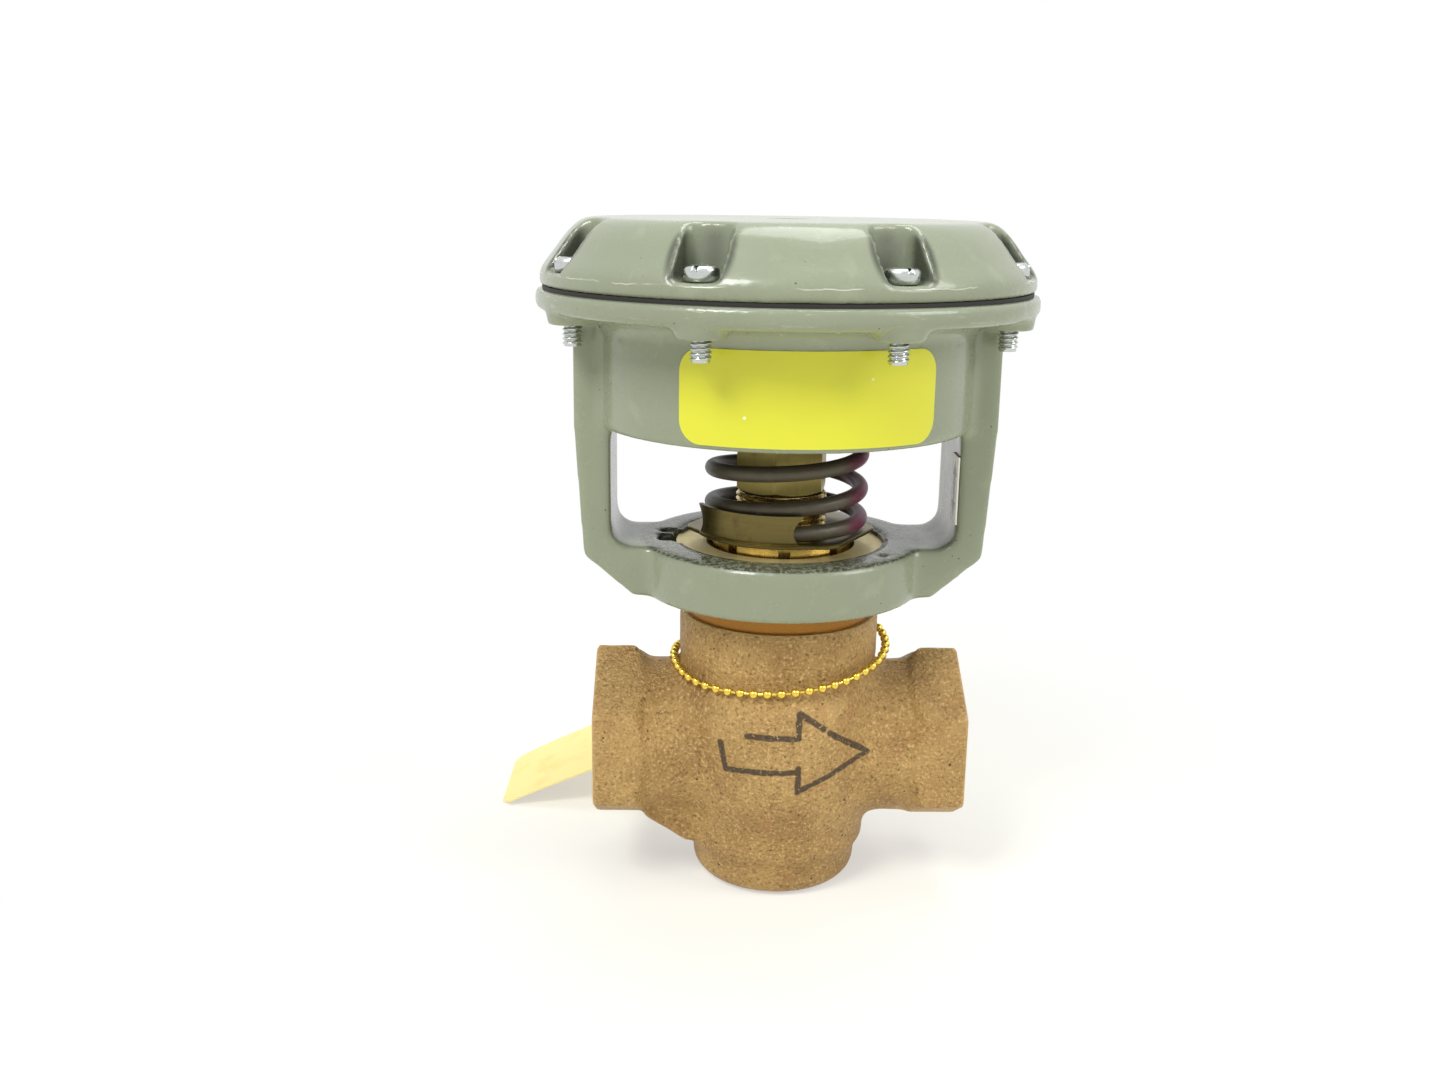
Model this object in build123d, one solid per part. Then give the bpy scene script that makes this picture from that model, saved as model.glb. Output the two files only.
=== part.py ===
from build123d import *
from math import cos, pi, radians, sin
import os

# Air-operated two-way globe valve: a cast bronze body with hexagonal female pipe ends, a brass
# bonnet, and a cast yoke that carries a spring-return diaphragm motor above it.
# Millimetres. +X is the flow direction, +Z runs up the stem, and the origin is the centre of the
# flat foot under the body. A bead chain round the neck holds a paper tag.

# Driving dimensions
# Valve body
PORT_HEIGHT = 37.7          # pipe axis above the foot
BODY_LENGTH = 95.8          # face to face
HEX_FLATS = 41.7
HEX_LENGTH = 13.2
HEX_FOOT = 18.7             # pipe axis down to the flat cut on the lowest corner
HEX_CONE = 3.2              # depth of the cone that trims the hexagon's inner corners
NECK_RADIUS = 20.2
PORT_RADIUS = 15.3          # wall of the pipe thread's bore
PORT_DEPTH = 17.0
WATERWAY_RADIUS = 12.5
INLET_WATERWAY_END = -19.0
OUTLET_WATERWAY_START = 22.5
DOWNCOMER_SIZE = (7.0, 18.0, 25.0)
DOWNCOMER_OFFSET = 19.5
DOWNCOMER_TOP = 7.3         # over the pipe axis
RISE_RADIUS = 10.5          # sloping waterway up from the outlet to the plug's chamber
RISE_OUTER = (27.0, 2.3)    # its ends: distance from the stem, height over the pipe axis
RISE_INNER = (10.0, 12.3)
COLLAR_RADIUS = 26.0
COLLAR_RISE = 22.7          # pipe axis up to the collar
COLLAR_HEIGHT = 12.95
GROOVE_RADIUS = 25.0
GLOBE_RADIUS = 28.8
GLOBE_TAPER = 1.2           # narrower at its lower bend
GLOBE_SHOULDER = 0.7        # narrower at its upper bend
GLOBE_LEVELS = (-6.7, 6.3, 14.3)    # lower bend, widest place and upper bend, from the pipe axis
GROOVE_DEPTH = 1.6          # bottom of the groove under the collar
BOSS_RADIUS = 24.0
BOSS_STEP = 11.3
BOSS_LOWER_RADIUS = 21.8
FOOT_RADIUS = 16.5
CHAMBER_RADIUS = 14.0
LOWER_CHAMBER_RADIUS = 16.5
LOWER_CHAMBER_FLOOR = 12.0
BRIDGE_DROP = 10.7          # pipe axis down to the bridge's underside
BRIDGE_THICKNESS = 9.0
WEB_HALF_WIDTH = 13.0
WEB_START = 35.0            # distances from the stem
WEB_KNEE = 31.0
WEB_END = 10.0
# Trim: seat, plug and stem
SEAT_BORE = 9.5
SEAT_OUTER = 11.7
SEAT_FLANGE = 13.2
SEAT_LIP = 2.5              # height of the seat above the bridge
TRAVEL = 8.0
STEM_RADIUS = 3.175
PLUG_RADIUS = 12.5
DISC_RADIUS = 11.0
DISC_THICKNESS = 3.0
DISC_RECESS = 2.0
PLUG_HEIGHT = 6.5
PLUG_HUB_RADIUS = 6.0
PLUG_HUB_HEIGHT = 3.5
STEM_NUT_FLATS = 10.0
STEM_NUT_HEIGHT = 4.0
DISC_WASHER_RADIUS = 8.0
DISC_WASHER_THICKNESS = 1.2
STEM_TIP = 1.2              # stem left showing past a nut
# Bonnet and packing
BONNET_BORE = 20.0          # counterbore in the collar
BONNET_BORE_DEPTH = 13.35   # depth of that counterbore
GASKET_THICKNESS = 1.0
BONNET_FLANGE_RADIUS = 24.5
BONNET_FLANGE_THICKNESS = 5.75
BONNET_SPIGOT_RADIUS = 19.1
BONNET_SPIGOT_HEIGHT = 7.4
POST_RADIUS = 11.0
POST_RISE = 9.3             # top of the post above the spring seat
PACKING_NECK_RADIUS = 8.6
PACKING_NECK_HEIGHT = 8.6
PACKING_BORE = 6.0
PACKING_DEPTH = 16.0
PACKING_SPRING_WIRE = 1.0
PACKING_SPRING_PITCH = 2.2
PACKING_SPRING_TURNS = 3
PACKING_RING_HEIGHT = 1.9
PACKING_RING_COUNT = 3
PACKING_WASHER_THICKNESS = 1.2
PACKING_NUT_FLATS = 21.5
PACKING_NUT_HEIGHT = 13.2
NUT_CHAMFER_START = 0.96    # share of the half flats where a nut's chamfer starts
# Yoke casting
RING_RADIUS = 36.3
RING_HEIGHT = 13.4
RING_BORE = 27.3
LIP_THICKNESS = 3.5
LEG_STEP = 4.5              # legs' faces inside and outside the drum's wall
LEG_LEAN = 2.0              # legs' outer faces lean in by this towards the base ring
LEG_HALF_WIDTH = 15.0
LEG_CHAMFER_RUN = 12.5
LEG_CHAMFER_RISE = 10.3
LEG_FILLET = 5.0
LEG_FOOT = 0.6              # underside of the legs above the base ring's underside
WINDOW_HEIGHT = 29.6        # base ring up to the drum
DRUM_RADIUS = 47.5
DRUM_WALL = 3.75
DRUM_HEIGHT = 24.4          # up to where its wall turns out under the flange
DRUM_TURN = 4.0             # height of that turn
FLANGE_REACH = 14.5         # flange beyond the drum
FLANGE_THICKNESS = 4.9
PAD_RADIUS = 6.0
PAD_HEIGHT = 2.5
DIMPLE_RADIUS = 1.6
DIMPLE_DEPTH = 0.8
DIMPLE_CIRCLE = 31.5
NOTCH_REACH = 31.5
NOTCH_HALF_WIDTH = 6.0
NOTCH_TOOTH_WIDTH = 2.4
NOTCH_DEPTH = 5.9
LOCK_NUT_NOTCH = (5.0, 4.0, 3.0)     # spanner notches in the lock nut's edge
SNAP_RING_HEIGHT = 0.8
SNAP_RING_GROOVE = 1.0
SNAP_RING_WIDTH = 1.6
SNAP_RING_DEPTH = 1.5       # groove's lower side below the base ring's top
# Cover and its screws
GAP = 0.9                   # diaphragm bead between flange and cover
RIM_STEP = 1.1              # cover's rim inside the flange's edge
RIM_HEIGHT = 3.0
COVER_HEIGHT = 16.2
COVER_SLOPE = 13.9          # from the rim in to the flat top
COVER_CAVITY_STEP = 0.25    # cavity beyond the drum's bore
COVER_ROOF = 3.8
SCREW_COUNT = 8
SCREW_INSET = 6.4           # from the flange's edge
SCREW_RADIUS = 2.4
SCREW_HEAD_RADIUS = 4.0
SCREW_HEAD_HEIGHT = 3.4
SCREW_FLOOR = 3.8           # cover under a screw's head
SCREW_LENGTH = 17.1         # under the head
SCREW_SLOT_WIDTH = 1.1
SCREW_SLOT_DEPTH = 1.3
POCKET_WIDTH = 11.0
POCKET_REACH = 7.6          # from a screw's axis inwards
POCKET_CORNER = 3.0
AIR_PORT_RADIUS = 4.3
AIR_BOSS_RADIUS = 9.0
AIR_BOSS_HEIGHT = 7.0
STOP_INNER = 14.5
STOP_OUTER = 18.0
STOP_SLOT_WIDTH = 5.0
# Motor: piston, diaphragm, main spring
PISTON_RISE = 1.8           # piston's top above the flange at rest
ROLL_GAP = 6.25             # between the drum's bore and the piston
PISTON_WALL = 3.0
PISTON_PLATE = 5.0
PISTON_SKIRT = 25.0
PISTON_HUB_RADIUS = 9.0
PISTON_HUB_DEPTH = 14.0
DIAPHRAGM_THICKNESS = 1.0
DIAPHRAGM_STEP = 0.6        # bead inside the cover's rim
ROLL_CENTRE_DROP = 9.4      # flange face down to the centre of the diaphragm's roll
CLAMP_WASHER_RADIUS = 13.0
CLAMP_WASHER_THICKNESS = 1.4
PISTON_NUT_FLATS = 11.1
PISTON_NUT_HEIGHT = 3.6
LOCK_NUT_FLATS = 11.1
STEM_LOCK_NUT_HEIGHT = 4.5
SPRING_WIRE = 4.0
SPRING_RADIUS = 19.0        # to the wire's centre
SPRING_OFFSET = 1.2         # the coils bow out towards the outlet side by this
SPRING_ACTIVE_TURNS = 5
SPRING_END_GAP = 0.3        # between the closed turn at each end and the next
SPRING_SEAT_RISE = 2.5      # top of the spring seat above the base ring
SPRING_SEAT_RADIUS = 24.0
SPRING_SEAT_SHEET = 1.2
SPRING_SEAT_SKIRT = 1.6
SEAT_WALL_HEIGHT = 7.0
SEAT_WALL_START = -71.0     # degrees from the front, anticlockwise from above
SEAT_WALL_END = 11.0
ADJUSTER_RADIUS = 18.0
ADJUSTER_NOTCHES = 8
ADJUSTER_NOTCH_WIDTH = 3.0
ADJUSTER_NOTCH_DEPTH = 2.4
# Label, travel scale and yoke screw
LABEL_START = -33.0
LABEL_END = 42.6
LABEL_RISE = 1.4            # above the drum's lower edge
LABEL_HEIGHT = 21.7
LABEL_CORNER = 5.5
LABEL_THICKNESS = 0.25
SCALE_THICKNESS = 0.4
SCALE_WIDTH = 8.0
SCALE_HEIGHT = 17.0
SCALE_RISE = 6.5            # above the base ring
SCALE_INSET = 0.4           # from the leg's front face
YOKE_SCREW_RADIUS = 1.5
YOKE_SCREW_LENGTH = 13.0
YOKE_SCREW_STANDOFF = 7.0
YOKE_SCREW_OFFSET = 9.0     # behind the legs' middle plane
# Chain and tag
BEAD_RADIUS = 1.15
BEAD_PITCH = 3.45
LINK_RADIUS = 0.4
CHAIN_RING_RADIUS = 27.9
CHAIN_RING_CENTRE = (0.5, 0.5, 24.1)    # the height is over the pipe axis, here and below
CHAIN_LAST_HANG = (12.0, 27.4, 22.8)    # where the clasp's side leaves the neck
CHAIN_FIRST_HANG = (-23.0, 26.0, 15.3)  # where the other side leaves it
CHAIN_OFFSET = 1.4          # chain against one side of the eyelet
CHAIN_TILT_X = 2.5          # rise of the ring at the outlet side
CHAIN_TILT_Y = 3.0          # rise of the ring at the back
CLASP_CENTRE = (4.5, 36.0, 6.1)
CLASP_DIRECTION = (17.0, -22.0, 39.5)
CLASP_RADIUS = 1.6
CLASP_LENGTH = 9.0
TAG_LENGTH = 70.0
TAG_WIDTH = 34.8
TAG_THICKNESS = 0.5
TAG_SLOPE = 21.0            # degrees, the tag's outer end resting on the floor
TAG_OUTER_EDGE = -79.0
TAG_MIDDLE = 51.5
TAG_CORNER = 2.5
TAG_SHOULDER = 9.0          # cut across the corners at the eyelet's end
EYELET_INSET = 6.5
EYELET_RADIUS = 3.0
EYELET_FLANGE = 4.6
EYELET_THICKNESS = 1.2

# Clearances
THREAD_FIT = 0.1            # radial, between threaded pairs that are drawn plain
SLIDE_FIT = 0.08            # radial, stem in its guide
LOOSE_FIT = 0.15
FACE_FIT = 0.05             # between parts that only touch
LIFT_GAP = 0.35             # piston to its upper stop
CLOSE_GAP = 0.1             # seat disc to seat at full travel
SPRING_FIT = 0.4            # spring to the seat's upturned wall, before the spring's offset

# Radii worked out from the above
DRUM_BORE = DRUM_RADIUS - DRUM_WALL
LEG_INNER = DRUM_RADIUS - LEG_STEP
LEG_OUTER_TOP = DRUM_RADIUS + LEG_STEP
LEG_OUTER_BOTTOM = LEG_OUTER_TOP - LEG_LEAN
FLANGE_RADIUS = DRUM_RADIUS + FLANGE_REACH
RIM_RADIUS = FLANGE_RADIUS - RIM_STEP
COVER_FLAT_RADIUS = RIM_RADIUS - COVER_SLOPE
COVER_CAVITY_RADIUS = DRUM_BORE + COVER_CAVITY_STEP
SCREW_CIRCLE = FLANGE_RADIUS - SCREW_INSET
POCKET_INNER = SCREW_CIRCLE - POCKET_REACH
PISTON_RADIUS = DRUM_BORE - ROLL_GAP
SEAT_WALL_RADIUS = SPRING_RADIUS + SPRING_WIRE / 2 + SPRING_FIT
DIAPHRAGM_RADIUS = RIM_RADIUS - DIAPHRAGM_STEP

# Levels worked out from the above
COLLAR_BOTTOM = PORT_HEIGHT + COLLAR_RISE
COLLAR_TOP = COLLAR_BOTTOM + COLLAR_HEIGHT
BRIDGE_BOTTOM = PORT_HEIGHT - BRIDGE_DROP
BRIDGE_TOP = BRIDGE_BOTTOM + BRIDGE_THICKNESS
BONNET_SEAT = COLLAR_TOP - BONNET_BORE_DEPTH
FLANGE_FACE = COLLAR_TOP + BONNET_FLANGE_THICKNESS
RING_TOP = FLANGE_FACE + RING_HEIGHT
SNAP_RING_LEVEL = RING_TOP - SNAP_RING_DEPTH
DRUM_BOTTOM = RING_TOP + WINDOW_HEIGHT
DRUM_TOP = DRUM_BOTTOM + DRUM_HEIGHT
FLANGE_BOTTOM = DRUM_TOP + DRUM_TURN
FLANGE_TOP = FLANGE_BOTTOM + FLANGE_THICKNESS
PAD_BOTTOM = FLANGE_BOTTOM - PAD_HEIGHT
SPRING_SEAT_LEVEL = RING_TOP + SPRING_SEAT_RISE
POST_TOP = SPRING_SEAT_LEVEL + POST_RISE
LIP_TOP = FLANGE_FACE + LIP_THICKNESS
LOCK_NUT_BOTTOM = LIP_TOP + FACE_FIT
LOCK_NUT_TOP = SNAP_RING_LEVEL - FACE_FIT
SPIGOT_TOP = FLANGE_FACE + BONNET_SPIGOT_HEIGHT
PACKING_TOP = POST_TOP + PACKING_NECK_HEIGHT
PACKING_FLOOR = PACKING_TOP - PACKING_DEPTH
PACKING_NUT_BOTTOM = POST_TOP + 0.4
COVER_BOTTOM = FLANGE_TOP + GAP
COVER_TOP = COVER_BOTTOM + COVER_HEIGHT
CAVITY_ROOF = COVER_TOP - COVER_ROOF
SCREW_SEAT = COVER_BOTTOM + SCREW_FLOOR
SCREW_END = SCREW_SEAT - SCREW_LENGTH
AIR_BOSS_BOTTOM = COVER_TOP - AIR_BOSS_HEIGHT
SEAT_TOP = BRIDGE_TOP + SEAT_LIP
DISC_BOTTOM = SEAT_TOP + TRAVEL + CLOSE_GAP
PLUG_BOTTOM = DISC_BOTTOM + DISC_THICKNESS - DISC_RECESS
STEM_HOLE = STEM_RADIUS + SLIDE_FIT
SPRING_CENTRE_BOTTOM = SPRING_SEAT_LEVEL + SPRING_WIRE / 2
SPRING_END_PITCH = SPRING_WIRE + SPRING_END_GAP
PLATE_TOP = FLANGE_TOP + PISTON_RISE
PLATE_BOTTOM = PLATE_TOP - PISTON_PLATE
SPRING_CENTRE_TOP = PLATE_BOTTOM - 2 * FACE_FIT - SPRING_WIRE / 2
SPRING_ACTIVE_HEIGHT = SPRING_CENTRE_TOP - SPRING_CENTRE_BOTTOM - 2 * SPRING_END_PITCH
SPRING_PITCH = SPRING_ACTIVE_HEIGHT / SPRING_ACTIVE_TURNS
DIAPHRAGM_BOTTOM = PLATE_TOP + FACE_FIT
DIAPHRAGM_TOP = DIAPHRAGM_BOTTOM + DIAPHRAGM_THICKNESS
WASHER_BOTTOM = DIAPHRAGM_TOP + FACE_FIT
PISTON_NUT_BOTTOM = WASHER_BOTTOM + CLAMP_WASHER_THICKNESS + FACE_FIT
STEM_TOP = PISTON_NUT_BOTTOM + PISTON_NUT_HEIGHT + STEM_TIP / 3
STEM_BOTTOM = DISC_BOTTOM - DISC_WASHER_THICKNESS - STEM_NUT_HEIGHT - STEM_TIP
HUB_BOTTOM = PLATE_BOTTOM - PISTON_HUB_DEPTH
STOP_BOTTOM = DIAPHRAGM_TOP + LIFT_GAP
ADJUSTER_BOTTOM = SPIGOT_TOP + 0.3
ADJUSTER_TOP = SPRING_SEAT_LEVEL - SPRING_SEAT_SHEET
LABEL_BOTTOM = DRUM_BOTTOM + LABEL_RISE
SCALE_BOTTOM = RING_TOP + SCALE_RISE
LEG_BOTTOM = FLANGE_FACE + LEG_FOOT


def turned(outline):
    """Solid of revolution about Z from a closed (radius, height) outline."""
    return revolve(make_face(Plane.XZ * outline), Axis.Z)


def turned_points(*points):
    """Solid of revolution about Z with straight sides."""
    return turned(Polyline(*points, close=True))


def ring(inner, outer, bottom, top):
    """Plain ring, or a disc where inner is 0."""
    return turned_points((inner, bottom), (outer, bottom), (outer, top), (inner, top))


def hex_prism(flats, bottom, top, turn=0):
    """Hexagonal prism on the Z axis, given across flats."""
    outline = RegularPolygon(flats / 2 / cos(pi / 6), 6, rotation=turn)
    return extrude(Plane.XY.offset(bottom) * outline, top - bottom)


def hex_nut(flats, bottom, top, bore, turn=0):
    """Hexagon nut with its corners turned off at both ends."""
    corner = flats / 2 / cos(pi / 6)
    face = flats / 2 * NUT_CHAMFER_START
    drop = (corner - face) / 2
    envelope = turned_points((0, bottom), (face, bottom), (corner, bottom + drop),
                             (corner, top - drop), (face, top), (0, top))
    return (hex_prism(flats, bottom, top, turn) & envelope) - ring(0, bore, bottom, top)


def port_rod(radius, start, end):
    """Round bar along the pipe axis."""
    return extrude(Plane((start, 0, PORT_HEIGHT), x_dir=(0, 1, 0), z_dir=(1, 0, 0)) * Circle(radius),
                   end - start)


def turn_about_z(part, angle):
    """A copy turned about the stem axis, in degrees."""
    return Rot(0, 0, angle) * part


def screw_angles():
    """Angles of the cover screws, with none on the legs' middle plane."""
    return [(number + 0.5) * 360 / SCREW_COUNT for number in range(SCREW_COUNT)]


def front_angle(azimuth):
    """Angle about +Z from +X of an azimuth measured from the front (-Y), anticlockwise from above."""
    return azimuth - 90


# Valve body

def hex_end():
    """Outlet-side hexagonal end: one point up, its lowest point cut flat, its inner corners coned."""
    corner = HEX_FLATS / 2 / cos(pi / 6)
    inner = BODY_LENGTH / 2 - HEX_LENGTH
    face = Plane((inner, 0, PORT_HEIGHT), x_dir=(0, 1, 0), z_dir=(1, 0, 0))
    bar = extrude(face * RegularPolygon(corner, 6, rotation=90), HEX_LENGTH)
    cone = turned_points((0, 0), (HEX_FLATS / 2, 0), (corner + 0.1, HEX_CONE),
                         (corner + 0.1, HEX_LENGTH), (0, HEX_LENGTH))
    bar = bar & (face.location * cone)
    below = Pos(inner + HEX_LENGTH / 2, 0, PORT_HEIGHT - HEX_FOOT - corner / 2)
    return bar - below * Box(2 * HEX_LENGTH, 3 * corner, corner)


def body_shell():
    """Foot, globe and collar turned about the stem axis."""
    lower, widest, upper = [PORT_HEIGHT + level for level in GLOBE_LEVELS]
    groove = COLLAR_BOTTOM - GROOVE_DEPTH
    outline = (
        Polyline((0, COLLAR_TOP), (0, 0), (FOOT_RADIUS, 0))
        + ThreePointArc((FOOT_RADIUS, 0), (FOOT_RADIUS + 3.9, 1.6), (BOSS_LOWER_RADIUS, 5.4))
        + Polyline((BOSS_LOWER_RADIUS, 5.4), (BOSS_LOWER_RADIUS + 0.2, 8.4), (BOSS_RADIUS, BOSS_STEP),
                   (BOSS_RADIUS, BOSS_STEP + 5))
        + Spline((BOSS_RADIUS, BOSS_STEP + 5), (GLOBE_RADIUS - GLOBE_TAPER, lower), (GLOBE_RADIUS, widest),
                 (GLOBE_RADIUS - GLOBE_SHOULDER, upper), (GROOVE_RADIUS, groove))
        + Polyline((GROOVE_RADIUS, groove), (GROOVE_RADIUS, COLLAR_BOTTOM - 0.3),
                   (COLLAR_RADIUS, COLLAR_BOTTOM + 0.5), (COLLAR_RADIUS, COLLAR_TOP), (0, COLLAR_TOP))
    )
    return turned(outline)


def inlet_web():
    """Sloping fill under the inlet neck, where the waterway dips below the seat."""
    neck_bottom = PORT_HEIGHT - NECK_RADIUS
    boss_edge = BOSS_STEP + 0.4
    outline = Polyline((-WEB_START, neck_bottom + 1.5), (-WEB_KNEE, neck_bottom - 1.2),
                       (-BOSS_RADIUS, boss_edge), (-WEB_END, boss_edge), (-WEB_END, PORT_HEIGHT),
                       (-WEB_START, PORT_HEIGHT), close=True)
    return extrude(make_face(Plane.XZ * outline), WEB_HALF_WIDTH, both=True)


def outlet_rise():
    """Sloping waterway from the chamber above the seat down to the outlet."""
    start = Vector(RISE_OUTER[0], 0, PORT_HEIGHT + RISE_OUTER[1])
    end = Vector(RISE_INNER[0], 0, PORT_HEIGHT + RISE_INNER[1])
    return extrude(Plane(origin=start, z_dir=end - start) * Circle(RISE_RADIUS), (end - start).length)


def valve_body():
    """Cast body: hexagonal ends, necks, globe, collar and foot, with its waterways and bridge."""
    half = BODY_LENGTH / 2
    end = hex_end()
    body = body_shell() + port_rod(NECK_RADIUS, -half + 2, half - 2) + inlet_web()
    body = body + end + turn_about_z(end, 180)
    bore_end = half - PORT_DEPTH
    inlet = port_rod(PORT_RADIUS, -half, -bore_end)
    inlet = inlet + port_rod(WATERWAY_RADIUS, -bore_end - 1, INLET_WATERWAY_END)
    downcomer_middle = PORT_HEIGHT + DOWNCOMER_TOP - DOWNCOMER_SIZE[2] / 2
    downcomer = Pos(-DOWNCOMER_OFFSET, 0, downcomer_middle) * Box(*DOWNCOMER_SIZE)
    outlet = port_rod(PORT_RADIUS, bore_end, half)
    outlet = outlet + port_rod(WATERWAY_RADIUS, OUTLET_WATERWAY_START, bore_end + 1)
    waterways = [
        inlet, downcomer, outlet, outlet_rise(),
        ring(0, LOWER_CHAMBER_RADIUS, LOWER_CHAMBER_FLOOR, BRIDGE_BOTTOM),
        ring(0, SEAT_OUTER + THREAD_FIT, BRIDGE_BOTTOM - 1, BRIDGE_TOP + 1),
        ring(0, CHAMBER_RADIUS, BRIDGE_TOP, BONNET_SEAT),
        ring(0, BONNET_BORE, BONNET_SEAT, COLLAR_TOP),
    ]
    for space in waterways:
        body = body - space
    return body


def seat_ring():
    """Screwed-in seat with a raised lip."""
    return turned_points((SEAT_BORE, BRIDGE_BOTTOM + 1), (SEAT_OUTER, BRIDGE_BOTTOM + 1),
                         (SEAT_OUTER, BRIDGE_TOP + FACE_FIT), (SEAT_FLANGE, BRIDGE_TOP + FACE_FIT),
                         (SEAT_FLANGE, SEAT_TOP - 0.8), (SEAT_BORE + 1.4, SEAT_TOP), (SEAT_BORE, SEAT_TOP))


# Stem assembly

def stem():
    """Straight stem from the disc nut up through the piston."""
    tip = STEM_RADIUS - 0.6
    return turned_points((0, STEM_BOTTOM), (tip, STEM_BOTTOM), (STEM_RADIUS, STEM_BOTTOM + 0.6),
                         (STEM_RADIUS, STEM_TOP - 0.6), (tip, STEM_TOP), (0, STEM_TOP))


def valve_plug():
    """Disc holder with a hub above it."""
    recess = DISC_RADIUS + THREAD_FIT
    shoulder = PLUG_BOTTOM + PLUG_HEIGHT
    return turned_points((recess, PLUG_BOTTOM), (PLUG_RADIUS, PLUG_BOTTOM), (PLUG_RADIUS, shoulder - 1),
                         (PLUG_RADIUS - 1, shoulder), (PLUG_HUB_RADIUS, shoulder),
                         (PLUG_HUB_RADIUS, shoulder + PLUG_HUB_HEIGHT),
                         (STEM_HOLE, shoulder + PLUG_HUB_HEIGHT),
                         (STEM_HOLE, PLUG_BOTTOM + DISC_RECESS + FACE_FIT),
                         (recess, PLUG_BOTTOM + DISC_RECESS + FACE_FIT))


def seat_disc():
    """Soft disc that closes on the seat."""
    return ring(STEM_HOLE, DISC_RADIUS, DISC_BOTTOM, DISC_BOTTOM + DISC_THICKNESS)


def disc_washer():
    """Washer under the soft disc."""
    return ring(STEM_HOLE, DISC_WASHER_RADIUS, DISC_BOTTOM - DISC_WASHER_THICKNESS, DISC_BOTTOM - FACE_FIT)


def disc_nut():
    """Nut that holds the disc and washer on the stem."""
    top = DISC_BOTTOM - DISC_WASHER_THICKNESS - FACE_FIT
    return hex_nut(STEM_NUT_FLATS, top - STEM_NUT_HEIGHT, top, STEM_HOLE)


def piston():
    """Cast cup piston with a hub round the stem."""
    skirt_bottom = PLATE_TOP - PISTON_SKIRT
    wall = PISTON_RADIUS - PISTON_WALL
    return turned_points((STEM_HOLE, HUB_BOTTOM), (PISTON_HUB_RADIUS - 1, HUB_BOTTOM),
                         (PISTON_HUB_RADIUS, HUB_BOTTOM + 1), (PISTON_HUB_RADIUS, PLATE_BOTTOM),
                         (wall, PLATE_BOTTOM), (wall, skirt_bottom), (PISTON_RADIUS, skirt_bottom),
                         (PISTON_RADIUS, PLATE_TOP), (STEM_HOLE, PLATE_TOP))


def clamp_washer():
    """Plate that clamps the diaphragm to the piston."""
    return ring(STEM_HOLE, CLAMP_WASHER_RADIUS, WASHER_BOTTOM, WASHER_BOTTOM + CLAMP_WASHER_THICKNESS)


def piston_nut():
    """Nut at the top of the stem."""
    return hex_nut(PISTON_NUT_FLATS, PISTON_NUT_BOTTOM, PISTON_NUT_BOTTOM + PISTON_NUT_HEIGHT, STEM_HOLE)


def stem_lock_nut():
    """Nut under the piston's hub, which sets the stem's length."""
    top = HUB_BOTTOM - FACE_FIT
    return hex_nut(LOCK_NUT_FLATS, top - STEM_LOCK_NUT_HEIGHT, top, STEM_HOLE)


# Bonnet and packing

def bonnet():
    """Brass bonnet: spigot in the collar, flange, yoke spigot, spring post and packing neck."""
    spigot_bottom = BONNET_SEAT + GASKET_THICKNESS + FACE_FIT
    return turned_points((STEM_HOLE, spigot_bottom), (BONNET_BORE - THREAD_FIT, spigot_bottom),
                         (BONNET_BORE - THREAD_FIT, COLLAR_TOP), (BONNET_FLANGE_RADIUS, COLLAR_TOP),
                         (BONNET_FLANGE_RADIUS, FLANGE_FACE), (BONNET_SPIGOT_RADIUS, FLANGE_FACE),
                         (BONNET_SPIGOT_RADIUS, SPIGOT_TOP), (POST_RADIUS, SPIGOT_TOP),
                         (POST_RADIUS, POST_TOP), (PACKING_NECK_RADIUS, POST_TOP),
                         (PACKING_NECK_RADIUS, PACKING_TOP), (PACKING_BORE, PACKING_TOP),
                         (PACKING_BORE, PACKING_FLOOR), (STEM_HOLE, PACKING_FLOOR))


def bonnet_gasket():
    """Flat gasket under the bonnet's spigot."""
    return ring(CHAMBER_RADIUS + 2, BONNET_BORE - 2 * THREAD_FIT, BONNET_SEAT, BONNET_SEAT + GASKET_THICKNESS)


def coil(wire, radius, pitch, height, bottom):
    """Right-hand coil, given to the wire's centre, as one swept solid."""
    path = Pos(0, 0, bottom) * Helix(pitch, height, radius)
    section = Plane(origin=path @ 0, z_dir=path % 0) * Circle(wire / 2)
    return sweep(section, path, is_frenet=True)


def packing_spring():
    """Light spring under the packing rings."""
    height = PACKING_SPRING_PITCH * PACKING_SPRING_TURNS
    radius = PACKING_BORE - PACKING_SPRING_WIRE / 2 - THREAD_FIT
    return coil(PACKING_SPRING_WIRE, radius, PACKING_SPRING_PITCH, height,
                PACKING_FLOOR + PACKING_SPRING_WIRE / 2 + FACE_FIT)


def packing_level():
    """Level of the washer that rides on the packing spring."""
    return PACKING_FLOOR + PACKING_SPRING_PITCH * PACKING_SPRING_TURNS + PACKING_SPRING_WIRE + 2 * FACE_FIT


def packing_washer():
    """Washer between the packing spring and the rings."""
    bottom = packing_level()
    return ring(STEM_HOLE, PACKING_BORE - THREAD_FIT, bottom, bottom + PACKING_WASHER_THICKNESS)


def packing_rings():
    """Stack of chevron rings round the stem."""
    bottom = packing_level() + PACKING_WASHER_THICKNESS + FACE_FIT
    inner = STEM_HOLE + FACE_FIT
    outer = PACKING_BORE - THREAD_FIT
    middle = (inner + outer) / 2
    ridge = 0.5
    rings = []
    for number in range(PACKING_RING_COUNT):
        low = bottom + number * (PACKING_RING_HEIGHT + FACE_FIT)
        high = low + PACKING_RING_HEIGHT
        rings.append(turned_points((inner, low), (middle, low + ridge), (outer, low),
                                   (outer, high), (middle, high + ridge), (inner, high)))
    return rings


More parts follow.
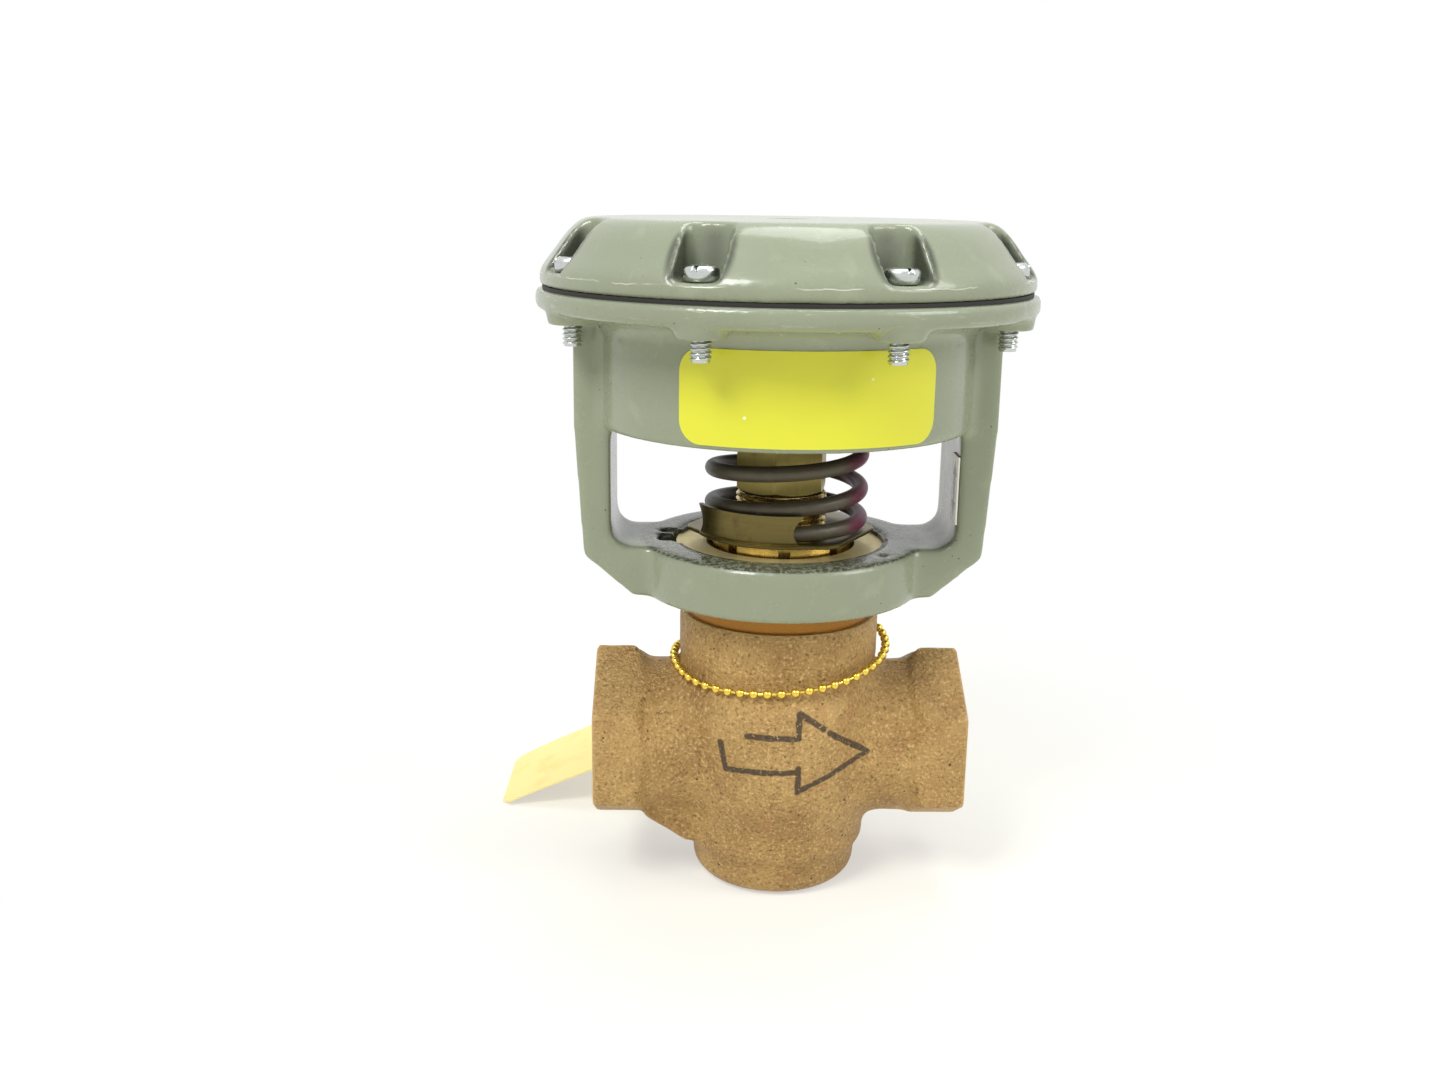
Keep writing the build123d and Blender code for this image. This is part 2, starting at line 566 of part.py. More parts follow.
def packing_nut():
    """Double-chamfered hexagon nut that closes the packing bore."""
    top = PACKING_NUT_BOTTOM + PACKING_NUT_HEIGHT
    nut = hex_nut(PACKING_NUT_FLATS, PACKING_NUT_BOTTOM, top, STEM_RADIUS + LOOSE_FIT, turn=20)
    inside = ring(0, PACKING_NECK_RADIUS + THREAD_FIT, PACKING_NUT_BOTTOM - 1, PACKING_TOP + 2 * FACE_FIT)
    return nut - inside


# Yoke casting

def leg(side):
    """One leg with its lobe on the base ring and its rib up the drum."""
    low = LEG_OUTER_BOTTOM - LEG_CHAMFER_RUN
    knee = LEG_BOTTOM + LEG_CHAMFER_RISE
    outline = Polyline((RING_BORE + 2, LEG_BOTTOM), (low, LEG_BOTTOM), (LEG_OUTER_BOTTOM - 0.4, knee),
                       (LEG_OUTER_BOTTOM, knee + 2), (LEG_OUTER_TOP, DRUM_BOTTOM),
                       (LEG_OUTER_TOP, FLANGE_BOTTOM + 1), (DRUM_BORE + 1, FLANGE_BOTTOM + 1),
                       (DRUM_BORE + 1, DRUM_BOTTOM + 1), (LEG_INNER, DRUM_BOTTOM + 1), (LEG_INNER, RING_TOP),
                       (RING_BORE + 2, RING_TOP), close=True)
    blank = extrude(make_face(Plane.XZ * outline), LEG_HALF_WIDTH, both=True)
    corner = blank.edges().filter_by(Axis.Y).filter_by_position(Axis.X, LEG_INNER - 0.5, LEG_INNER + 0.5)
    blank = fillet(corner.filter_by_position(Axis.Z, RING_TOP - 1, RING_TOP + 1), LEG_FILLET)
    return blank if side > 0 else turn_about_z(blank, 180)


def drum_and_flange():
    """Open drum, the flange round its top and the turned part of the casting."""
    return turned_points((DRUM_BORE, DRUM_BOTTOM), (DRUM_RADIUS - 0.8, DRUM_BOTTOM),
                         (DRUM_RADIUS, DRUM_BOTTOM + 0.8), (DRUM_RADIUS, DRUM_TOP),
                         (DRUM_RADIUS + 2.2, DRUM_TOP + 2.6), (DRUM_RADIUS + 6, FLANGE_BOTTOM - 0.4),
                         (FLANGE_RADIUS - 1, FLANGE_BOTTOM), (FLANGE_RADIUS, FLANGE_BOTTOM + 1.2),
                         (FLANGE_RADIUS, FLANGE_TOP - 0.8), (FLANGE_RADIUS - 0.5, FLANGE_TOP),
                         (DRUM_BORE, FLANGE_TOP))


def base_ring():
    """Base ring with the lip that the bonnet's lock nut clamps."""
    lip_bore = BONNET_SPIGOT_RADIUS + LOOSE_FIT
    return turned_points((lip_bore, FLANGE_FACE), (RING_RADIUS - 0.8, FLANGE_FACE),
                         (RING_RADIUS, FLANGE_FACE + 0.8), (RING_RADIUS, RING_TOP - 1.2),
                         (RING_RADIUS - 1.2, RING_TOP), (RING_BORE, RING_TOP),
                         (RING_BORE, SNAP_RING_LEVEL + SNAP_RING_HEIGHT + LOOSE_FIT),
                         (RING_BORE + SNAP_RING_GROOVE, SNAP_RING_LEVEL + SNAP_RING_HEIGHT + LOOSE_FIT),
                         (RING_BORE + SNAP_RING_GROOVE, SNAP_RING_LEVEL), (RING_BORE, SNAP_RING_LEVEL),
                         (RING_BORE, LIP_TOP), (lip_bore, LIP_TOP))


def ring_notch():
    """Recess in the base ring at the inlet side, round a small tooth."""
    middle = -(RING_BORE + NOTCH_REACH) / 2 + 1
    reach = NOTCH_REACH - RING_BORE + 4
    recess = Pos(middle, 0, RING_TOP - NOTCH_DEPTH / 2) * Box(reach, 2 * NOTCH_HALF_WIDTH, NOTCH_DEPTH)
    recess = recess & ring(0, NOTCH_REACH, RING_TOP - NOTCH_DEPTH, RING_TOP)
    tooth = Box(reach, NOTCH_TOOTH_WIDTH, NOTCH_DEPTH)
    tooth = Pos(middle, NOTCH_HALF_WIDTH / 3, RING_TOP - NOTCH_DEPTH / 2) * tooth
    return recess - (tooth - ring(0, RING_BORE, RING_TOP - NOTCH_DEPTH, RING_TOP))


def screw_plane(offset):
    """Plane square to the outlet leg's lower chamfer, offset outwards from it."""
    along = Vector(LEG_CHAMFER_RUN - 0.4, 0, LEG_CHAMFER_RISE).normalized()
    outward = Vector(along.Z, 0, -along.X)
    middle = Vector(LEG_OUTER_BOTTOM - LEG_CHAMFER_RUN / 2, YOKE_SCREW_OFFSET,
                    LEG_BOTTOM + LEG_CHAMFER_RISE / 2)
    return Plane(origin=middle + outward * offset, x_dir=(0, 1, 0), z_dir=outward)


def yoke_housing():
    """Base ring, two legs, drum, flange and screw pads as one casting."""
    housing = base_ring() + drum_and_flange() + leg(1) + leg(-1)
    for angle in screw_angles():
        pad = Pos(SCREW_CIRCLE, 0, 0) * ring(0, PAD_RADIUS, PAD_BOTTOM, FLANGE_BOTTOM + 1)
        housing = housing + turn_about_z(pad, angle)
    for angle in screw_angles():
        hole = Pos(SCREW_CIRCLE, 0, 0) * ring(0, SCREW_RADIUS + THREAD_FIT, PAD_BOTTOM - 1, FLANGE_TOP + 1)
        housing = housing - turn_about_z(hole, angle)
    housing = housing - ring(0, RING_BORE, LIP_TOP, RING_TOP) - ring_notch()
    for azimuth in (-35, 50):
        dimple = Pos(DIMPLE_CIRCLE, 0, 0) * ring(0, DIMPLE_RADIUS, RING_TOP - DIMPLE_DEPTH, RING_TOP + 1)
        housing = housing - turn_about_z(dimple, front_angle(azimuth))
    inner_end = YOKE_SCREW_STANDOFF - YOKE_SCREW_LENGTH - 1
    tapped = extrude(screw_plane(inner_end) * Circle(YOKE_SCREW_RADIUS + THREAD_FIT), YOKE_SCREW_LENGTH)
    return housing - tapped


def yoke_lock_nut():
    """Notched brass disc that clamps the yoke's lip to the bonnet."""
    outer = RING_BORE - 2 * LOOSE_FIT
    disc = ring(BONNET_SPIGOT_RADIUS + THREAD_FIT, outer, LOCK_NUT_BOTTOM, LOCK_NUT_TOP)
    for number in range(4):
        notch = Pos(RING_BORE, 0, LOCK_NUT_TOP) * Box(*LOCK_NUT_NOTCH)
        disc = disc - turn_about_z(notch, 45 + 90 * number)
    return disc


def snap_ring():
    """Split ring sprung into the groove above the lock nut."""
    outer = RING_BORE + SNAP_RING_GROOVE - LOOSE_FIT
    bottom = SNAP_RING_LEVEL + LOOSE_FIT / 2
    band = ring(outer - SNAP_RING_WIDTH, outer, bottom, bottom + SNAP_RING_HEIGHT)
    return band - Pos(-outer, 0, bottom) * Box(12, 2 * NOTCH_HALF_WIDTH + 3, 4)


def yoke_screw():
    """Socket set screw in the outlet leg's lower chamfer."""
    inner_end = YOKE_SCREW_STANDOFF - YOKE_SCREW_LENGTH
    screw = extrude(screw_plane(inner_end) * Circle(YOKE_SCREW_RADIUS), YOKE_SCREW_LENGTH)
    socket = extrude(screw_plane(YOKE_SCREW_STANDOFF - 1.2) * RegularPolygon(YOKE_SCREW_RADIUS * 0.6, 6), 2)
    return screw - socket


# Main spring and its seat

def spring_adjuster():
    """Castellated ring nut on the post, which sets the spring's preload."""
    collar = ring(POST_RADIUS + THREAD_FIT, ADJUSTER_RADIUS, ADJUSTER_BOTTOM, ADJUSTER_TOP - FACE_FIT)
    height = ADJUSTER_TOP - ADJUSTER_BOTTOM
    notch = Pos(ADJUSTER_RADIUS, 0, ADJUSTER_BOTTOM + height / 2)
    notch = notch * Box(2 * ADJUSTER_NOTCH_DEPTH, ADJUSTER_NOTCH_WIDTH, 2 * height)
    for number in range(ADJUSTER_NOTCHES):
        collar = collar - turn_about_z(notch, number * 360 / ADJUSTER_NOTCHES)
    return collar


def spring_seat():
    """Pressed seat: flat pan with a turned-down edge and one upturned wall beside the spring."""
    hole = POST_RADIUS + LOOSE_FIT
    top = SPRING_SEAT_LEVEL
    pan = turned_points((hole, ADJUSTER_TOP), (SPRING_SEAT_RADIUS - SPRING_SEAT_SHEET, ADJUSTER_TOP),
                        (SPRING_SEAT_RADIUS - SPRING_SEAT_SHEET, ADJUSTER_TOP - SPRING_SEAT_SKIRT),
                        (SPRING_SEAT_RADIUS, ADJUSTER_TOP - SPRING_SEAT_SKIRT),
                        (SPRING_SEAT_RADIUS, top - 0.5),
                        (SPRING_SEAT_RADIUS - 0.5, top), (hole, top))
    wall = ring(SEAT_WALL_RADIUS, SEAT_WALL_RADIUS + SPRING_SEAT_SHEET, top - 0.2, top + SEAT_WALL_HEIGHT)
    sweep_angle = SEAT_WALL_END - SEAT_WALL_START
    wedge = [(0, 0)]
    steps = 4
    for step in range(steps + 1):
        angle = radians(front_angle(SEAT_WALL_START + sweep_angle * step / steps))
        wedge.append((40 * cos(angle), 40 * sin(angle)))
    sector = extrude(Plane.XY.offset(top - 1) * make_face(Polyline(*wedge, close=True)), SEAT_WALL_HEIGHT + 2)
    return pan + (wall & sector)


def main_spring():
    """Heavy right-hand compression spring with a closed turn at each end."""
    lower = coil(SPRING_WIRE, SPRING_RADIUS, SPRING_END_PITCH, SPRING_END_PITCH, SPRING_CENTRE_BOTTOM)
    middle_bottom = SPRING_CENTRE_BOTTOM + SPRING_END_PITCH
    middle_height = SPRING_PITCH * SPRING_ACTIVE_TURNS
    middle = coil(SPRING_WIRE, SPRING_RADIUS, SPRING_PITCH, middle_height, middle_bottom)
    middle_top = middle_bottom + middle_height
    upper = coil(SPRING_WIRE, SPRING_RADIUS, SPRING_END_PITCH, SPRING_END_PITCH, middle_top)
    joints = [Pos(SPRING_RADIUS, 0, level) * Sphere(SPRING_WIRE / 2)
              for level in (middle_bottom, middle_top)]
    return Pos(SPRING_OFFSET, 0, 0) * turn_about_z(lower + middle + upper + joints, 180)


# Diaphragm and cover

def diaphragm():
    """Rolling diaphragm: bead under the cover, roll between drum and piston, sheet over the piston."""
    outside = DRUM_BORE - 4 * FACE_FIT
    inside = PISTON_RADIUS + 4 * FACE_FIT
    thick = DIAPHRAGM_THICKNESS
    roll = FLANGE_TOP - ROLL_CENTRE_DROP
    middle = (outside + inside) / 2
    outer_arc = (outside - inside) / 2
    inner_arc = outer_arc - thick
    bottom = FLANGE_TOP
    top = COVER_BOTTOM
    outline = (
        Polyline((DIAPHRAGM_RADIUS, bottom), (outside, bottom), (outside, roll))
        + ThreePointArc((outside, roll), (middle, roll - outer_arc), (inside, roll))
        + Polyline((inside, roll), (inside, DIAPHRAGM_BOTTOM), (STEM_HOLE, DIAPHRAGM_BOTTOM),
                   (STEM_HOLE, DIAPHRAGM_TOP), (inside + thick, DIAPHRAGM_TOP), (inside + thick, roll))
        + ThreePointArc((inside + thick, roll), (middle, roll - inner_arc), (outside - thick, roll))
        + Polyline((outside - thick, roll), (outside - thick, top), (DIAPHRAGM_RADIUS, top),
                   (DIAPHRAGM_RADIUS, bottom))
    )
    sheet = turned(outline)
    for angle in screw_angles():
        hole = Pos(SCREW_CIRCLE, 0, 0) * ring(0, SCREW_RADIUS + LOOSE_FIT, bottom - 1, top + 1)
        sheet = sheet - turn_about_z(hole, angle)
    return sheet


def cover_pocket():
    """Pocket round one screw head, open to the side."""
    length = RIM_RADIUS - POCKET_INNER + 10
    block = Pos(POCKET_INNER + length / 2, 0, SCREW_SEAT + 20) * Box(length, POCKET_WIDTH, 40)
    return fillet(block.edges().filter_by(Axis.Z).group_by(Axis.X)[0], POCKET_CORNER)


def top_cover():
    """Domed cover with screw pockets, the piston's upper stop and the air port's boss."""
    outline = (
        Polyline((DRUM_BORE - 1, COVER_BOTTOM), (RIM_RADIUS, COVER_BOTTOM),
                 (RIM_RADIUS, COVER_BOTTOM + RIM_HEIGHT))
        + Spline((RIM_RADIUS, COVER_BOTTOM + RIM_HEIGHT), (RIM_RADIUS - 3.2, COVER_TOP - 8.4),
                 (RIM_RADIUS - 6.5, COVER_TOP - 4), (RIM_RADIUS - 9.3, COVER_TOP - 1.3),
                 (COVER_FLAT_RADIUS, COVER_TOP), tangents=[(-0.35, 1), (-1, 0)])
        + Polyline((COVER_FLAT_RADIUS, COVER_TOP), (AIR_PORT_RADIUS, COVER_TOP),
                   (AIR_PORT_RADIUS, AIR_BOSS_BOTTOM), (AIR_BOSS_RADIUS, AIR_BOSS_BOTTOM),
                   (AIR_BOSS_RADIUS, CAVITY_ROOF), (STOP_INNER, CAVITY_ROOF), (STOP_INNER, STOP_BOTTOM),
                   (STOP_OUTER, STOP_BOTTOM), (STOP_OUTER, CAVITY_ROOF),
                   (COVER_CAVITY_RADIUS - 2, CAVITY_ROOF), (COVER_CAVITY_RADIUS, CAVITY_ROOF - 2),
                   (DRUM_BORE - 1 + 0.1, COVER_BOTTOM + 1),
                   (DRUM_BORE - 1, COVER_BOTTOM))
    )
    cover = turned(outline)
    for angle in screw_angles():
        hole = Pos(SCREW_CIRCLE, 0, 0) * ring(0, SCREW_RADIUS + LOOSE_FIT, COVER_BOTTOM - 1, SCREW_SEAT + 1)
        cover = cover - turn_about_z(cover_pocket(), angle) - turn_about_z(hole, angle)
    slot_height = CAVITY_ROOF - STOP_BOTTOM
    middle = STOP_BOTTOM + slot_height / 2 - 0.5
    slot = Pos(0, 0, middle) * Box(2.2 * STOP_OUTER, STOP_SLOT_WIDTH, slot_height)
    return cover - slot - turn_about_z(slot, 90)


def cover_screws():
    """Slotted fillister screws that clamp the cover and the diaphragm to the flange."""
    seat = SCREW_SEAT + FACE_FIT
    side = seat + SCREW_HEAD_HEIGHT * 0.6
    top = seat + SCREW_HEAD_HEIGHT
    outline = (
        Polyline((0, top), (0, SCREW_END), (SCREW_RADIUS - 0.5, SCREW_END), (SCREW_RADIUS, SCREW_END + 0.6),
                 (SCREW_RADIUS, seat), (SCREW_HEAD_RADIUS, seat), (SCREW_HEAD_RADIUS, side))
        + Spline((SCREW_HEAD_RADIUS, side), (0, top), tangents=[(0, 1), (-1, 0)])
    )
    slot = Box(3 * SCREW_HEAD_RADIUS, SCREW_SLOT_WIDTH, SCREW_SLOT_DEPTH)
    slot = Pos(0, 0, top - SCREW_SLOT_DEPTH / 2) * slot
    screw = turned(outline) - slot
    return [turn_about_z(Pos(SCREW_CIRCLE, 0, 0) * screw, angle) for angle in screw_angles()]


# Label and scale

def blank_label():
    """Plain sticker round the drum's front, with rounded corners."""
    inner = DRUM_RADIUS + 0.02
    band = ring(inner, inner + LABEL_THICKNESS, LABEL_BOTTOM, LABEL_BOTTOM + LABEL_HEIGHT)
    half_width = DRUM_RADIUS * sin(radians((LABEL_END - LABEL_START) / 2))
    window = extrude(Plane.XZ * RectangleRounded(2 * half_width, LABEL_HEIGHT, LABEL_CORNER), 2 * DRUM_RADIUS)
    window = Pos(0, 0, LABEL_BOTTOM + LABEL_HEIGHT / 2) * window
    return band & turn_about_z(window, (LABEL_START + LABEL_END) / 2)


def travel_scale():
    """Thin marked plate on the outlet leg's inner face."""
    front = -LEG_HALF_WIDTH + SCALE_INSET
    plate = Box(SCALE_THICKNESS, SCALE_WIDTH, SCALE_HEIGHT)
    return Pos(LEG_INNER - FACE_FIT - SCALE_THICKNESS / 2, front + SCALE_WIDTH / 2,
               SCALE_BOTTOM + SCALE_HEIGHT / 2) * plate


# Chain and tag

def over_pipe(place):
    """Point whose height is given over the pipe axis."""
    return Vector(place[0], place[1], place[2] + PORT_HEIGHT)


def chain_ring_point(angle):
    """Point on the tilted circle that the chain makes round the body's neck."""
    x, y, z = over_pipe(CHAIN_RING_CENTRE)
    rise = CHAIN_TILT_X * cos(radians(angle)) + CHAIN_TILT_Y * sin(radians(angle))
    x += CHAIN_RING_RADIUS * cos(radians(angle))
    y += CHAIN_RING_RADIUS * sin(radians(angle))
    return (x, y, z + rise)


def eyelet_centre():
    """Centre of the tag's eyelet, up the slope from the edge that rests on the floor."""
    reach = TAG_LENGTH - EYELET_INSET
    slope = radians(TAG_SLOPE)
    lift = TAG_THICKNESS / 2 * cos(slope)
    return Vector(TAG_OUTER_EDGE + reach * cos(slope), TAG_MIDDLE, reach * sin(slope) + lift)


def chain_path():
    """Centre line from one end of the clasp round the neck, down through the eyelet and back."""
    direction = Vector(*CLASP_DIRECTION).normalized()
    centre = over_pipe(CLASP_CENTRE)
    away = CLASP_LENGTH / 2 + BEAD_RADIUS + 0.2
    eye = eyelet_centre()
    points = [centre + direction * away, over_pipe(CHAIN_LAST_HANG)]
    points += [Vector(*chain_ring_point(angle)) for angle in range(30, -201, -30)]
    points += [over_pipe(CHAIN_FIRST_HANG), eye + Vector(-1, -9, 14), eye + Vector(0, -2, 6)]
    points += [eye + Vector(0, -CHAIN_OFFSET, 0), eye + Vector(0.6, -1, -6)]
    points += [eye + Vector(6.5, -1, -11), eye + Vector(13.5, -4, -6)]
    points += [centre - direction * away]
    return Spline(*points)


def tag_chain():
    """Ball chain: round beads with a short link between each two."""
    path = chain_path()
    count = round(path.length / BEAD_PITCH)
    places = [path @ (number / count) for number in range(count + 1)]
    pieces = [Pos(*place) * Sphere(BEAD_RADIUS) for place in places]
    inset = BEAD_RADIUS + FACE_FIT / 2
    for first, second in zip(places, places[1:]):
        step = (second - first).normalized()
        start = Plane(origin=first + step * inset, z_dir=step)
        pieces.append(extrude(start * Circle(LINK_RADIUS), (second - first).length - 2 * inset))
    return pieces


def chain_clasp():
    """Sleeve that joins the chain's two ends."""
    direction = Vector(*CLASP_DIRECTION).normalized()
    start = over_pipe(CLASP_CENTRE) - direction * (CLASP_LENGTH / 2)
    sleeve = extrude(Plane(origin=start, z_dir=direction) * Circle(CLASP_RADIUS), CLASP_LENGTH)
    return fillet(sleeve.edges(), 0.7)


def tag_plane():
    """Middle plane of the tag at the eyelet, its X running up the slope."""
    slope = radians(TAG_SLOPE)
    return Plane(origin=eyelet_centre(), x_dir=(cos(slope), 0, sin(slope)),
                 z_dir=(-sin(slope), 0, cos(slope)))


def hang_tag():
    """Stiff paper tag with cut shoulders at the eyelet's end."""
    outer = -(TAG_LENGTH - EYELET_INSET)
    half = TAG_WIDTH / 2
    outline = Polyline((outer, -half + TAG_CORNER), (outer + TAG_CORNER, -half),
                       (EYELET_INSET - TAG_SHOULDER, -half), (EYELET_INSET, -half + TAG_SHOULDER),
                       (EYELET_INSET, half - TAG_SHOULDER), (EYELET_INSET - TAG_SHOULDER, half),
                       (outer + TAG_CORNER, half), (outer, half - TAG_CORNER), close=True)
    sheet = make_face(outline) - Circle(EYELET_RADIUS + 0.7)
    return extrude(tag_plane() * sheet, TAG_THICKNESS / 2, both=True)


def tag_eyelet():
    """Rolled eyelet in the tag's hole."""
    half = EYELET_THICKNESS / 2
    paper = TAG_THICKNESS / 2 + 0.02
    eyelet = turned_points((EYELET_RADIUS, -half), (EYELET_FLANGE, -half), (EYELET_FLANGE, -paper),
                           (EYELET_RADIUS + 0.6, -paper), (EYELET_RADIUS + 0.6, paper),
                           (EYELET_FLANGE, paper),
                           (EYELET_FLANGE, half), (EYELET_RADIUS, half))
    return tag_plane().location * eyelet


PIECES = [
    valve_body, seat_ring, stem, valve_plug, seat_disc, disc_washer, disc_nut, piston, clamp_washer,
    piston_nut, stem_lock_nut, bonnet, bonnet_gasket, packing_spring, packing_washer, packing_rings,
    packing_nut, yoke_housing, yoke_lock_nut, snap_ring, yoke_screw, spring_adjuster, spring_seat,
    main_spring, diaphragm, top_cover, cover_screws, blank_label, travel_scale, tag_chain, chain_clasp,
    hang_tag, tag_eyelet,
]

os.makedirs("parts", exist_ok=True)
for piece in PIECES:
    made = piece()
    solids = made if isinstance(made, list) else [made]
    shapes = [solid for part in solids for solid in part.solids()]
    export_step(shapes[0] if len(shapes) == 1 else Compound(shapes), f"parts/{piece.__name__}.step")
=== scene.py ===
import math

import bmesh
import bpy
import numpy as np
from bpy.props import FloatProperty, FloatVectorProperty, IntProperty, PointerProperty
from mathutils import Matrix, Vector


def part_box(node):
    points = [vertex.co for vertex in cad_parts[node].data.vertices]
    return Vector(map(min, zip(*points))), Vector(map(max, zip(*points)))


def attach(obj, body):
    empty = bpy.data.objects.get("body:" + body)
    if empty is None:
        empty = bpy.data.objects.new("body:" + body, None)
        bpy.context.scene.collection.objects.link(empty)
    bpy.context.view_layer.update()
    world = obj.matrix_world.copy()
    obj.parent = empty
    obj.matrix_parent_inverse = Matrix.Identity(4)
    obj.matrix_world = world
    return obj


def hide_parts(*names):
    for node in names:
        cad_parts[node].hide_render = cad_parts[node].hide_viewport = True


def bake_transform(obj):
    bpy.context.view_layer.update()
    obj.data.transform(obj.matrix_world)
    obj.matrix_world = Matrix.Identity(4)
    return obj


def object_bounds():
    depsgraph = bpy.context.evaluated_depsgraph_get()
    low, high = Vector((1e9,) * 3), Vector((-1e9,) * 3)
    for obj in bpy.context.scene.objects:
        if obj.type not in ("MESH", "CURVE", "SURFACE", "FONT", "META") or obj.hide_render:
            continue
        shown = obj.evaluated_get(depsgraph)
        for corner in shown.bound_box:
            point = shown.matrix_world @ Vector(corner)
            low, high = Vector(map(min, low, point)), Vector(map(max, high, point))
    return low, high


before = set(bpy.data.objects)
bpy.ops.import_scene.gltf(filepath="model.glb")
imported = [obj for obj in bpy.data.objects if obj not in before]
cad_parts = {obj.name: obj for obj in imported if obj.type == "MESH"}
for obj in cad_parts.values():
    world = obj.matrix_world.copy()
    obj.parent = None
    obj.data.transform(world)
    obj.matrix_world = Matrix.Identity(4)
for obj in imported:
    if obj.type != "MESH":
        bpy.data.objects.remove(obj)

bl_info = {
    "name": "Globe Valve with Diaphragm Motor",
    "version": (1, 0, 0),
    "blender": (4, 5, 0),
    "location": "View3D > Sidebar > Valve",
    "description": "Builds the finished surfaces of an air-operated bronze globe valve",
    "category": "Object",
}

CAD_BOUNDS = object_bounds()
MM = 0.001
TURN = 2 * math.pi


def edges_of(node):
    """Lowest and highest corner of a node of the frame, in metres."""
    low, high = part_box(node)
    return np.array(low), np.array(high)


BODY_LOW, BODY_HIGH = edges_of("valve_body")
YOKE_TOP = edges_of("yoke_housing")[1][2]
COVER_BOTTOM = edges_of("top_cover")[0][2]
SCREW_BOTTOM = edges_of("cover_screws")[0][2]
SPRING_LOW, SPRING_HIGH = edges_of("main_spring")
SEAT_LOW, SEAT_HIGH = edges_of("spring_seat")
LABEL_LOW, LABEL_HIGH = edges_of("blank_label")
SCALE_LOW, SCALE_HIGH = edges_of("travel_scale")
NUT_BOTTOM = edges_of("packing_nut")[0][2]
TAG_LOW, TAG_HIGH = edges_of("hang_tag")
EYELET_LOW, EYELET_HIGH = edges_of("tag_eyelet")

# Places that the frame's boxes don't give
PORT_HEIGHT = 37.7 * MM
DRUM_RADIUS = 47.5 * MM
RING_TOP = 92.5 * MM
POST_RADIUS = 11.0 * MM
SCREW_COUNT = 8
SCREW_CIRCLE = 55.6 * MM
SCREW_ANGLES = (np.arange(SCREW_COUNT) + 0.5) * TURN / SCREW_COUNT
DIMPLE_CIRCLE = 31.5 * MM           # the two dimples in the ring's top
DIMPLE_ANGLES = (-125.0, -40.0)
LABEL_ANGLES = (-123.0, -47.4)      # from the label's left edge to its right
SEAT_WALL_ANGLES = (-161, -79)
SEAT_WALL_RADIUS = 22.4 * MM
SEAT_APOTHEM = 21.6 * MM
TAG_SLOPE = 21.0
TAG_HOLE = 3.7 * MM
WELD = 0.0005 * MM                  # points of a frame mesh nearer than this are one
LATTICE_SIZE = 48
LAMPS = (                           # name, place and width in metres, power in watts
    ("key", (-0.5, -0.62, 0.95), 0.4, 9.5),
    ("fill", (0.85, -0.4, 0.7), 0.5, 5.0),
    ("top", (0.1, 0.15, 1.15), 0.6, 6.0),
)
SHADE_LIGHT = 0.34                  # strength of the surroundings where they aren't seen directly
CAMERA_PLACE = (-21.77 * MM, -350.2 * MM, 178.3 * MM)
CAMERA_TURN = (-1.106, 14.092, 0.831)    # yaw, pitch and roll in degrees
CAMERA_LENS = 34.61                 # in millimetres, on a sensor 36 mm wide
FLOW_ARROW = (                      # strokes on the body's front, each from (x, z) to (x, z)
    ((-15.3, 44.6), (-13.9, 37.9)),
    ((-13.9, 37.9), (4.3, 38.2)),
    ((4.2, 39.3), (4.1, 32.5)),
    ((5.0, 33.2), (22.2, 40.7)),
    ((22.2, 40.7), (12.0, 47.9)),
    ((10.4, 49.2), (4.5, 53.4)),
    ((4.2, 53.4), (4.0, 47.7)),
    ((-8.8, 47.5), (4.0, 47.3)),
)


def srgb(red, green, blue):
    """Linear colour from the usual 0 to 255 values."""
    share = np.array([red, green, blue]) / 255
    linear = np.where(share <= 0.04045, share / 12.92, ((share + 0.055) / 1.055) ** 2.4)
    return tuple(float(value) for value in linear)


def colour_property(name, description, red, green, blue):
    """Colour that a user may change."""
    return FloatVectorProperty(name=name, description=description, subtype="COLOR", size=3, min=0, max=1,
                               default=srgb(red, green, blue))


def length_property(name, description, millimetres):
    """Length that a user may change, in metres."""
    return FloatProperty(name=name, description=description, subtype="DISTANCE", unit="LENGTH", min=0,
                         precision=5, default=millimetres * MM)


